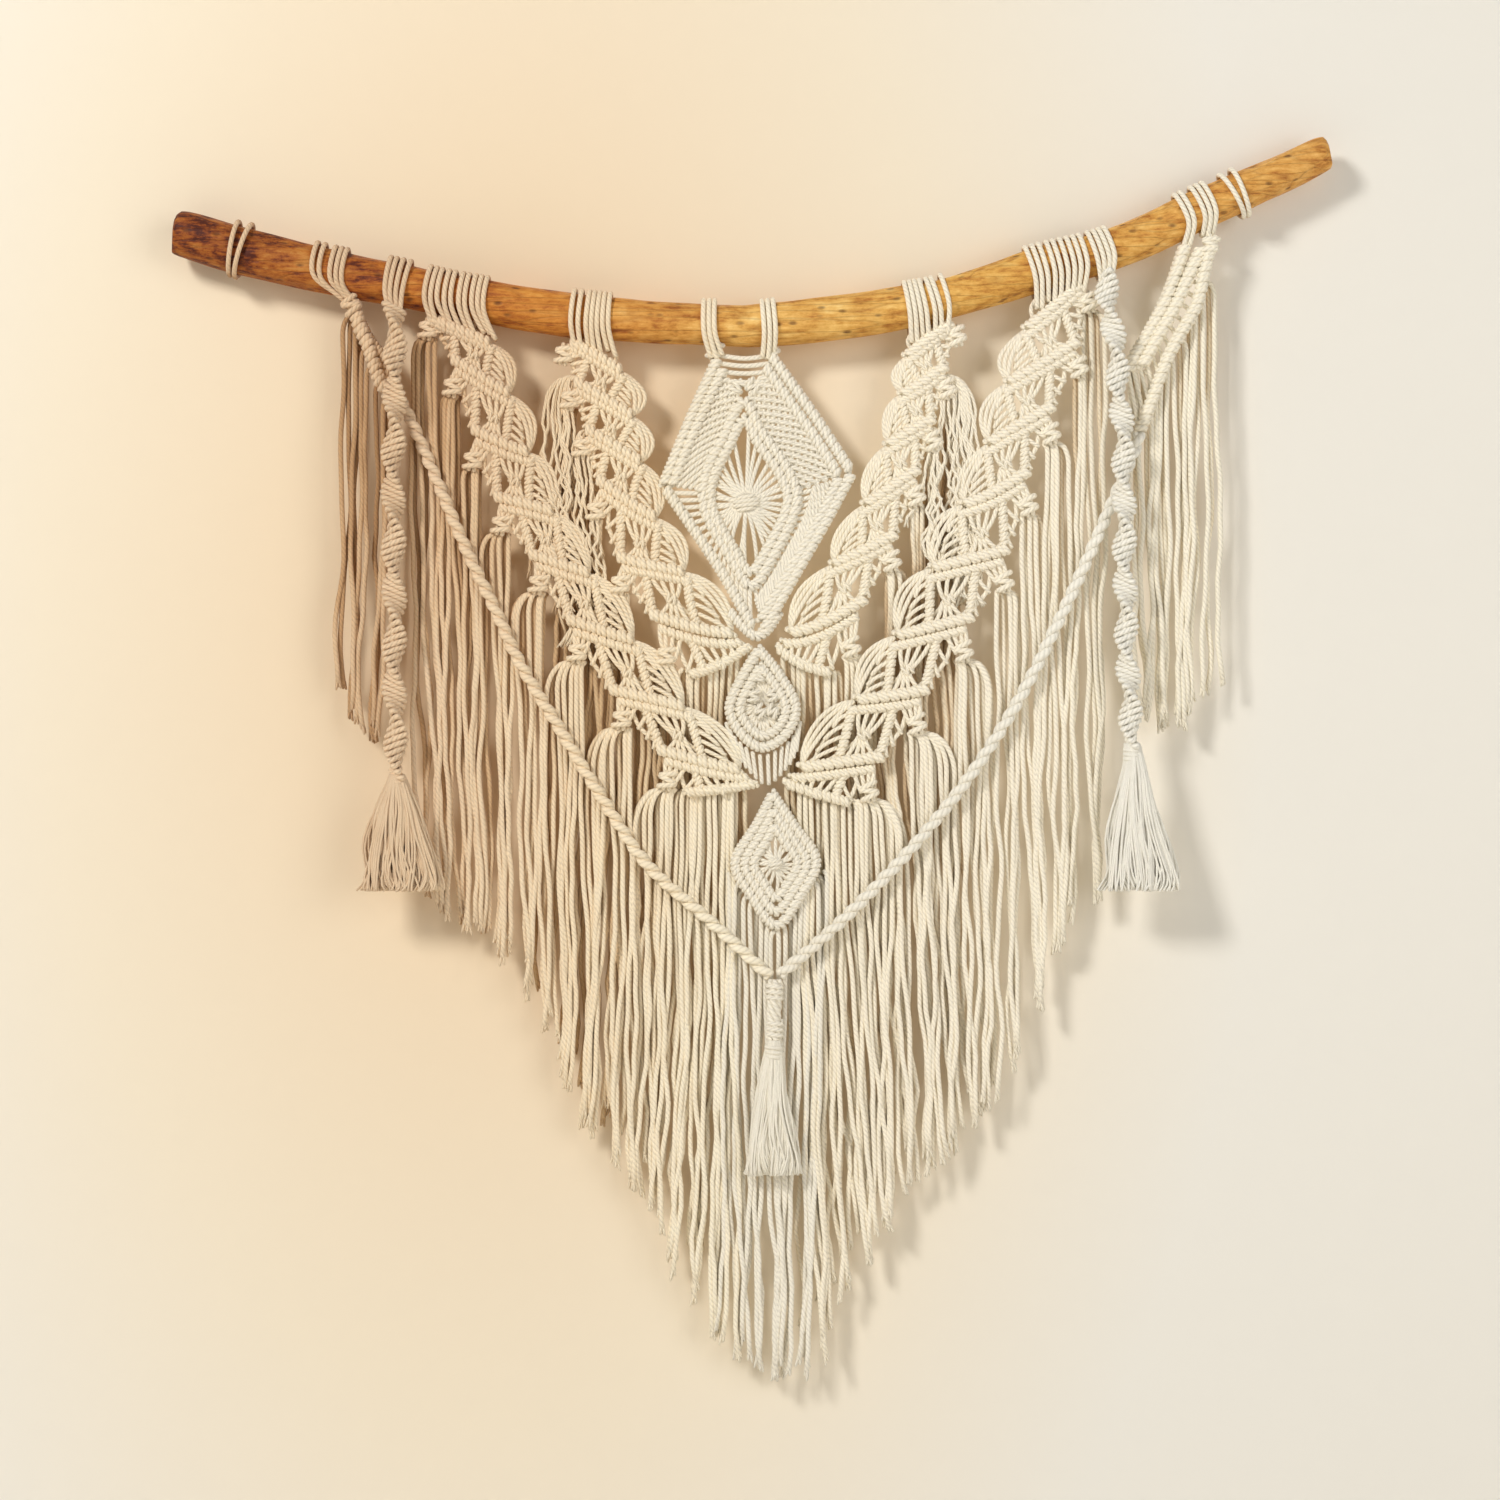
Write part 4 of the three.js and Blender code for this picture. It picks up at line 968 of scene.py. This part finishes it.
# The bands at the two ends are thick ridges of hitches that lead from the loops to the swags. Each route
# gives places along X and Z with a depth, and the size of its hitches; the rungs tie two ridges together.
HEAD_RIDGES = {
    "left": [
        (1.36, [(-317, -7, 17), (-311, -8, -3), (-304, -8, -19), (-299, -8, -35), (-293, -8, -49),
                (-279, -8, -62)]),
        (0.86, [(-310, -4, 2), (-303, -4, -12), (-293, -5, -25), (-282, -5, -42)]),
    ],
    "right": [
        (1.24, [(347, -6, 62), (333.5, -7, 24), (321, -7, -1.6), (307.5, -7, -24.8), (302, -6, -38)]),
        (1.24, [(360, -8, 60), (350, -8, 38), (339, -8, 14), (326, -8, -9), (312.5, -8, -34)]),
        (1.22, [(368, -9, 66), (362, -9, 40), (356, -9, 15), (342, -9, -10), (331, -9, -32), (321, -8, -60),
                (311, -8, -86)]),
    ],
}
# The square knot at the top of each: place along X and Z, lean, size and depth.
HEAD_KNOTS = {"left": (-318, 15, -0.4, 1.1, -8.5), "right": (367, 63, 0.25, 1.0, -10.0)}
RUNG_LAYER = -4.6  # depth of the rungs
for side_name, ridges in HEAD_RIDGES.items():
    band = Cordage()
    for size, route in ridges:
        ridge(band, even_line(route, 40), size)
    square_knot(band, *HEAD_KNOTS[side_name])
    first, last = even_line(ridges[0][1], 15), even_line(ridges[-1][1], 15)
    share = np.linspace(0, 1, 6)[None, :, None]
    rungs_behind = first[1:, None] + (last[1:] - first[1:])[:, None] * share
    rungs_behind[..., 1] = RUNG_LAYER
    band.lay(rungs_behind, THIN_CORD)
    band.piece(f"head_hitches_{side_name}", cotton_cord, f"head_band_{side_name}")

# ---------------- diamonds
# Three diamonds hang below one another in the middle. Each is framed by ridges of hitches round a
# centre: the large and the lower one have a sunburst of cords that are tied together in its middle,
# and the small one a rolled berry knot, with a comb of cords below it.

PANEL_LAYER = -5.5
NET_PITCH = 7.4  # length of half a lozenge of the nets
NET_LIFT = 0.4
NET_CORD = 1.8
RUNG_BULGE = 1.3  # how far the middle of a rung stands forward
SUN_RISE = 3.4  # how far the cords of a sunburst stand forward at the hub
SUN_BOW = 1.2  # most that one of them bows sideways
SUN_SCATTER = 0.05  # angle by which they are uneven
HUB_RISE = 3.2  # how far the middle of their tie stands forward
HUB_DEEP = 2.6  # half of its depth


def through(points, count, lift=0.0):
    """A smooth line of count points through (x, z) points, a lift in front of the panel's layer."""
    line = even_line([(x, PANEL_LAYER, z) for x, z in points], count)
    line[:, 1] -= lift
    return line


def inset(outline, centre, share):
    """An outline drawn in towards a centre by a share of its reach."""
    centre = np.asarray(centre, float)
    return centre + (np.asarray(outline, float) - centre) * (1 - share)


def strip(outer, inner, count):
    """The two edges of a strip as lines of count points, and the length of its middle."""
    first, second = through(outer, count), through(inner, count)
    return first, second, length_of(0.5 * (first + second))


def rungs(cords, outer, inner, start, pitch, radius, lift):
    """Short cords side by side across the strip between two lines, from a share of its width to its
    inner edge, with the middle of each a little raised."""
    first, second, length = strip(outer, inner, 120)
    rows = np.linspace(3, 116, int(length / pitch)).astype(int)
    run = np.linspace(0, 1, 6)
    share = (start + (1 - start) * run)[None, :, None]
    lines = first[rows][:, None] * (1 - share) + second[rows][:, None] * share
    lines[..., 1] += -lift - RUNG_BULGE * np.sin(np.pi * run)
    cords.lay(lines, radius)


def netting(cords, outer, inner, start, end):
    """A net of knots between two shares of a strip's width: cords that zigzag along it, every second
    one the other way, so that they cross in lozenges."""
    first, second, length = strip(outer, inner, 200)
    turn = np.linspace(0, length / NET_PITCH, 200)
    lane = np.repeat(np.linspace(start, end, 4), 2)[:, None]
    hand = np.tile([-1, 1], 4)[:, None]
    share = (lane + hand * 0.5 * (end - start) / 3 * (np.abs(turn % 2 - 1) * 2 - 1))[..., None]
    lines = first * (1 - share) + second * share
    lines[..., 1] -= NET_LIFT + 1.1 * hand * np.sin(np.pi * turn)
    cords.lay(lines, NET_CORD)


def sunburst(cords, centre, outline, count, hub, radius, seed):
    """Cords from a hub to an outline: each starts on a small ellipse round the centre, runs to its own
    point of the closed outline and bows sideways by a little of its own."""
    rng = np.random.default_rng(seed)
    ring = through(outline, 400)
    around = np.arctan2(ring[:, 2] - centre[1], ring[:, 0] - centre[0])
    order = np.argsort(around)
    wanted = np.linspace(-np.pi, np.pi, count, endpoint=False)
    wanted = (wanted + rng.uniform(-SUN_SCATTER, SUN_SCATTER, count))[:, None]
    far_x, far_z = (np.interp(wanted, around[order], ring[order, k], period=2 * np.pi) for k in (0, 2))
    near_x = centre[0] + hub[0] * np.cos(wanted)
    near_z = centre[1] + hub[1] * np.sin(wanted)
    share = np.linspace(0, 1, 9)[None]
    bow = rng.uniform(-SUN_BOW, SUN_BOW, (count, 1)) * np.sin(np.pi * share)
    x = near_x + (far_x - near_x) * share - bow * np.sin(wanted)
    z = near_z + (far_z - near_z) * share + bow * np.cos(wanted)
    y = PANEL_LAYER - SUN_RISE * (1 - share) ** 1.5 + 0 * x
    cords.lay(np.stack([x, y, z], axis=-1), radius)


def hub_knot(cords, centre, wide, high, turns, radius):
    """The cords' tie at the centre: flat ellipses one above another, that bulge forwards."""
    angle = angles(16)[None]
    level = np.linspace(-high, high, turns)[:, None]
    reach = wide * np.sqrt(1 - (0.75 * level / high) ** 2)
    x = centre[0] + reach * np.cos(angle)
    y = PANEL_LAYER - HUB_RISE + HUB_DEEP * np.sin(angle) - 1.2 * (1 - (level / high) ** 2)
    z = centre[1] + level + 1.2 * np.cos(angle)
    cords.lay(np.stack([x, y, z], axis=-1), radius, closed=True)


def frame_ridges(cords, outline, centre, insets, size, lift):
    """Closed ridges round a centre, one inside another."""
    for share in insets:
        ridge(cords, through(inset(outline, centre, share), 60, lift), size)


# The large diamond: its outer edges, and the ring round its sunburst.
SUN = (-3, -143)
RING_UPPER_LEFT = [(-5, -62), (-20, -88), (-33, -114), (-38, -133)]
RING_UPPER_RIGHT = [(-5, -62), (9, -86), (27, -111), (37, -134)]
RING_LOWER_LEFT = [(-38, -133), (-34, -154), (-17, -184), (1, -209)]
RING_LOWER_RIGHT = [(37, -134), (34, -154), (19, -184), (1, -209)]
# Each side's outer edge and inner edge, the places of its ridges across it, the shares between which it
# has a net, and its rungs' start, pitch, radius and lift.
UPPER_SIDE = ((0.06, 0.27), (0.42, 0.86), (0.30, 5.3, 1.9, -2.4))
PANEL_SIDES = [
    ([(-28, -27), (-48, -72), (-71, -128)], RING_UPPER_LEFT, *UPPER_SIDE),
    ([(19, -24), (51, -68), (83, -116)], RING_UPPER_RIGHT, *UPPER_SIDE),
    ([(-71, -132), (-50, -160), (-22, -202), (2, -246)], RING_LOWER_LEFT, (0.12,), None,
     (0.14, 6.4, 2.05, -0.6)),
    ([(83, -120), (62, -158), (36, -203), (12, -246)], RING_LOWER_RIGHT, (0.06, 0.27), (0.44, 0.66),
     (0.30, 6.4, 2.0, -1.6)),
]
panel = Cordage()
for outer, inner, ridge_places, net, comb in PANEL_SIDES:
    for share in ridge_places:
        edge = through(outer, 60, 1.0) * (1 - share) + through(inner, 60, 1.0) * share
        ridge(panel, edge, 1.08)
    if net:
        netting(panel, outer, inner, *net)
    rungs(panel, outer, inner, *comb)
ring = RING_UPPER_LEFT[::-1] + RING_UPPER_RIGHT[1:] + RING_LOWER_RIGHT[1:] + RING_LOWER_LEFT[::-1][1:]
frame_ridges(panel, ring, SUN, (0.0, 0.17), 1.06, 1.4)
sunburst(panel, SUN, inset(ring, SUN, 0.24), 36, (6.5, 5.0), 1.8, 31)
hub_knot(panel, SUN, 9.5, 4.6, 4, 1.9)
# Rungs between the two hangers, and square knots on the hangers and above the ring.
for height in (-25, -31, -37, -44):
    reach = 0.48 * (height + 25)
    panel.lay(through([(-24 + reach, height), (-4, height - 2.5), (15 - reach, height)], 8), 2.1)
for knot in ((-28, -21, 0.25, 0.95), (17, -20, -0.2, 0.95), (-10, -50, 0.7, 0.85), (2, -50, -0.7, 0.85)):
    square_knot(panel, *knot)
# The cords gather in a small curved ridge at the lowest corner.
ridge(panel, through([(-16, -230), (-4, -243), (5, -249), (14, -244), (22, -232)], 30))
panel.piece("sunburst_panel", cream_cord, "diamond_panel")

# The small diamond: an outer ring, a pointed teardrop inside it, and the berry in that.
DROP_CENTRE = (11, -306)
DROP_RING = [
    (7, -257), (-6, -278), (-18, -306), (-8, -328), (10, -340), (30, -328), (38, -305), (24, -278),
    (7, -257),
]
drop = Cordage()
frame_ridges(drop, DROP_RING, DROP_CENTRE, (0.06, 0.34), 1.0, 1.2)
rungs(drop, DROP_RING, inset(DROP_RING, DROP_CENTRE, 0.9), 0.0, 4.2, 1.9, -2.2)
for number, (x, z) in enumerate(((8, -281), (3, -297), (18, -296), (8, -309), (18, -309))):
    square_knot(drop, x, z, 0.5 - 0.35 * number, 0.72, PANEL_LAYER - 1.8)
comb_start = through([(-19, -318), (-10, -332), (10, -344), (32, -332), (40, -317)], 14, -1.5)
comb_end = through([(-13, -340), (-4, -353), (13, -368), (30, -354), (37, -341)], 14, -1.5)
share = np.linspace(0, 1, 8)[None, :, None]
drop.lay(comb_start[:, None] * (1 - share) + comb_end[:, None] * share, 1.85)
drop.piece("berry_teardrop", cream_cord, "diamond_small")

# The lower diamond, with its own small sunburst.
LOW_CENTRE = (20.5, -431)
LOW_RING = [
    (18, -373), (5, -398), (-13, -430), (1, -458), (21, -482), (41, -457), (54, -428), (35, -398),
    (18, -373),
]
low = Cordage()
frame_ridges(low, LOW_RING, LOW_CENTRE, (0.04, 0.26, 0.47), 1.0, 1.2)
sunburst(low, LOW_CENTRE, inset(LOW_RING, LOW_CENTRE, 0.56), 20, (3.6, 3.0), 1.6, 32)
hub_knot(low, LOW_CENTRE, 4.8, 2.6, 3, 1.6)
low.piece("small_sunburst", cream_cord, "diamond_lower")

# ---------------- fringes
# The ends of the cords fall from the knots at the lower edges. They leave each knot together, spread
# until they hang side by side in two layers, wave a little, cross here and there, and end frayed.

FRINGE_CORD = 2.2  # radius of a fringe cord
FRINGE_PITCH = 3.5  # width that each cord takes, three in front for two behind
KNOT_MOUTH = 14.0  # width in which a knot's cords leave it
KNOT_PAST = 6.0  # how far past the knot's middle its last cord hangs
KNOT_BEFORE = 9.0  # how far before a row's first knot its first cord hangs, where nothing else is said
BEND_DROP = 7.0  # least drop in which a cord bends down below its knot
STATIONS = 38  # points along a cord
TIP_SCATTER = 4.2  # how far the tips stray to the sides
FREE_DROP = 90  # drop below the knots at which a cord waves fully
SORTED_DROP = 60  # drop at which the two layers have come to their mean depth
SWING = (1.8, 0.55)  # how far a cord's long wave and its short wave go sideways
SWING_DEEP = (0.9, 0.3)  # how far they go forwards
BUNCH = 1.9  # how far cords side by side lean towards each other
BUNCH_WIDTH = 25  # width of a bunch
BUNCH_DRIFT = 120  # drop in which the bunches move aside by a sixth of their width
LAYER_SCATTER = 0.8  # how far a cord strays from the depth of its layer
CLUMP = 17.0  # width of the groups in which the tips gather
FRAY = 8.0  # length of a frayed end
FRAY_LENGTHS = (0.7, 1.25)  # least and greatest share of it that a strand has
FRAY_SPREAD = (0.2, 1.8)  # least and greatest distance that a strand spreads
FRAY_ROOT = 2.5  # how far inside the cord it starts
FRAY_TAPER = np.array([1, 1, 0.9, 0.8, 0.55])
FRONT_LAYER = -1.4  # depth of the front cords of a fringe
BACK_LAYER = 2.9  # depth of its back cords
OUTER_LAYER = 0.8  # mean depth lower down of a fringe in front of others
INNER_LAYER = 8.2  # mean depth lower down of a fringe behind others


def frayed(lines, radius, seed):
    """Three strands at the end of each cord: they go on from its last point and spread outwards with
    the 1.6th power of their length."""
    rng = np.random.default_rng(seed)
    end = lines[:, -1]
    way = unit(end - lines[:, -2])
    count = len(end)
    angle = rng.uniform(0, 2 * np.pi, (count, 1)) + angles(3)
    out = round_about(angle, np.array([1, 0, 0]), np.array([0, 0.6, 0]))
    share = np.linspace(0, 1, 5)
    reach = (0.45 * radius + rng.uniform(*FRAY_SPREAD, (count, 3, 1)) * share**1.6)[..., None]
    run = rng.uniform(*FRAY_LENGTHS, (count, 3, 1)) * FRAY * share
    root = (end - FRAY_ROOT * way)[:, None, None]
    strands = root + run[..., None] * way[:, None, None] + reach * out[:, :, None]
    return strands.reshape(-1, 5, 3)


def fringe(cords, seed, knots, tips, thick=FRINGE_CORD, front_y=FRONT_LAYER, back_y=BACK_LAYER,
           low_y=OUTER_LAYER, crinkle=1.0, rag=9.0, waves=(120, 260, 40, 80), first_x=None,
           past=KNOT_PAST, pitch=FRINGE_PITCH, mouth=KNOT_MOUTH):
    """Cords from a row of knots to the line of the tips. The cords of a knot hang between the knot
    before it and a little past its own middle. Each leaves the knot's mouth sideways and bends down in
    a quarter of an ellipse to its own place across. It then moves with the 1.5th power of its fall to
    its place at the tips, which are drawn half way together in groups. Two sines that grow downwards
    make its waves: a long one and a short one, with the shortest and the longest of each given."""
    rng = np.random.default_rng(seed)
    knots = np.asarray(knots, float)
    tips = np.array(sorted(tips), float)
    hand = np.sign(knots[-1, 0] - knots[0, 0])
    bounds = knots[:, 0] + hand * past
    bounds = np.append(knots[0, 0] - hand * KNOT_BEFORE if first_x is None else first_x, bounds)
    start_x, start_z, place = [], [], []
    for k, (x, z) in enumerate(knots):
        wide = bounds[k + 1] - bounds[k]
        many = max(int(round(abs(wide) / pitch)), 1)
        share = (np.arange(many) + 0.5) / many
        place.append(bounds[k] + wide * share)
        start_x.append(x + np.clip(wide, -mouth, mouth) * (share - 0.5))
        start_z.append(z - 3 * np.abs(share - 0.5))
    place, start_x, start_z = (np.concatenate(parts)[:, None] for parts in (place, start_x, start_z))
    count = len(place)
    share = (place - bounds.min()) / (bounds.max() - bounds.min())
    tip_x = tips[0, 0] + share * np.ptp(tips[:, 0]) + rng.normal(0, TIP_SCATTER, (count, 1))
    group = np.floor(tip_x / CLUMP)
    tip_x = tip_x + 0.5 * ((group + 0.5) * CLUMP + 3 * np.sin(5 * group) - tip_x)
    tip_z = np.interp(tip_x, *tips.T) + rng.uniform(-rag, rag, (count, 1)) + rag * np.sin(37 * group)
    run = np.linspace(0, 1, STATIONS)[None]
    fall = 0.3 * run + 0.7 * run**2
    drop = fall * (start_z - tip_z)
    bend = BEND_DROP + 1.3 * np.abs(place - start_x)
    parted = np.sqrt(1 - (1 - np.clip(drop / bend, 0, 1))**2)
    hung = start_x + (place - start_x) * parted
    long_turn = 2 * np.pi * drop / rng.uniform(*waves[:2], (count, 1))
    short_turn = 2 * np.pi * drop / rng.uniform(*waves[2:], (count, 1))
    phase = rng.uniform(0, 2 * np.pi, (4, count, 1))
    sway = np.clip(drop / FREE_DROP, 0, 1) * (0.6 + 0.9 * fall) * crinkle
    wave = SWING[0] * np.sin(long_turn + phase[0]) + SWING[1] * np.sin(short_turn + phase[1])
    lean = 2 * np.pi * place / BUNCH_WIDTH + drop / BUNCH_DRIFT + phase[0, 0]
    bunch = BUNCH * parted * np.sin(lean)
    deep = SWING_DEEP[0] * np.sin(long_turn + phase[2]) + SWING_DEEP[1] * np.sin(short_turn + phase[3])
    behind = np.isin(np.arange(count)[:, None] % 5, (1, 3))
    scatter = rng.uniform(-LAYER_SCATTER, LAYER_SCATTER, (count, 1))
    layer = np.where(behind, back_y, front_y) + scatter
    moved = np.clip(drop / SORTED_DROP, 0, 1)
    x = hung + (tip_x - place) * fall**1.5 + sway * wave + bunch
    y = layer + (low_y - (front_y + back_y) / 2) * moved + sway * deep
    lines = np.stack([x, y, start_z - drop], axis=-1)
    cords.lay(lines, thick)
    cords.lay(frayed(lines, thick, seed + 50), 0.6 * thick * FRAY_TAPER, sides=4)


def hang_fringe(where, cloth, seed, *hems):
    """One fringe piece from one or more rows of knots, each a table of what fringe() takes."""
    cords = Cordage()
    for number, hem in enumerate(hems):
        fringe(cords, seed + number, **hem)
    level, *side_name = where.split("_")
    cords.piece(f"fringe_{where}", cloth, "_".join([level, "fringe", *side_name]))


# What sets some of the rows apart: the inner fringes hang behind the outer ones, thin unlaid cords
# crinkle beside the tops of the inner bands, and the cords of the lower diamond and of the bands at the
# ends leave their ridges side by side.
BEHIND = dict(low_y=INNER_LAYER, crinkle=1.2, waves=(80, 160, 24, 44))
UNLAID = dict(
    front_y=-4.5, back_y=-0.5, low_y=-2.4, crinkle=1.6, rag=24, waves=(24, 46, 10, 16),
    past=3, pitch=1.35, mouth=6, thick=1.35,
)
BELOW_DIAMOND = dict(front_y=-2.6, past=0, pitch=3.7, mouth=1.0)
BELOW_RIDGE = dict(past=1, mouth=5)

hang_fringe("outer_left", cotton_cord, 11, dict(
    knots=[*band_knots["outer_left"], (-46, -370), (-30, -369), (-14, -366)], first_x=-273,
    tips=[(-266, -432), (-230, -469), (-184, -516), (-135, -620), (-79, -694), (-54, -764), (-18, -824)],
))
hang_fringe("outer_right", cotton_cord, 12, dict(
    knots=[*band_knots["outer_right"], (80, -379), (66, -375), (54, -370), (42, -366)], first_x=284,
    tips=[(51, -826), (78, -762), (124, -700), (182, -623), (210, -582), (251, -483), (282, -458)],
))
hang_fringe("inner_left", cotton_cord, 13, dict(
    BEHIND, knots=[*band_knots["inner_left"][1:], (-48, -274), (-33, -269), (-18, -263), (-6, -259)],
    tips=[(-165, -544), (-135, -590), (-79, -664), (-22, -790)],
), dict(
    UNLAID, knots=[(-143, -41), (-131, -84)], first_x=-164,
    tips=[(-174, -204), (-150, -240), (-112, -226)],
))
hang_fringe("inner_right", cotton_cord, 14, dict(
    BEHIND, knots=[*band_knots["inner_right"][1:], (64, -276), (52, -270), (40, -264), (30, -260)],
    tips=[(47, -790), (78, -730), (124, -664), (186, -586)],
), dict(
    UNLAID, knots=[(157, -40), (146, -82)], first_x=182,
    tips=[(132, -196), (160, -216), (190, -180)],
))
hang_fringe("centre", cream_cord, 15, dict(
    BELOW_DIAMOND, knots=[(-17 + 3.7 * k, -438 - 4.6 * k) for k in range(11)], first_x=-20,
    tips=[(-17, -818), (2, -826), (18, -830)],
), dict(
    BELOW_DIAMOND, knots=[(59 - 3.7 * k, -436 - 4.8 * k) for k in range(11)], first_x=62,
    tips=[(18, -830), (36, -826), (50, -818)],
))
hang_fringe("end_left", cotton_cord, 16, dict(
    BELOW_RIDGE, first_x=-327,
    knots=[(-317, 8), (-313, -6), (-308, -20), (-303, -34), (-298, -48), (-290, -58), (-282, -66)],
    tips=[(-334, -296), (-318, -318), (-284, -330)],
))
hang_fringe("end_right", cotton_cord, 17, dict(
    BELOW_RIDGE, first_x=371,
    knots=[
        (363, 36), (357, 18), (350, 4), (342, -10), (335, -24), (328, -40), (322, -56), (314, -36),
        (304, -36),
    ],
    tips=[(306, -300), (338, -314), (358, -286), (371, -280)],
))
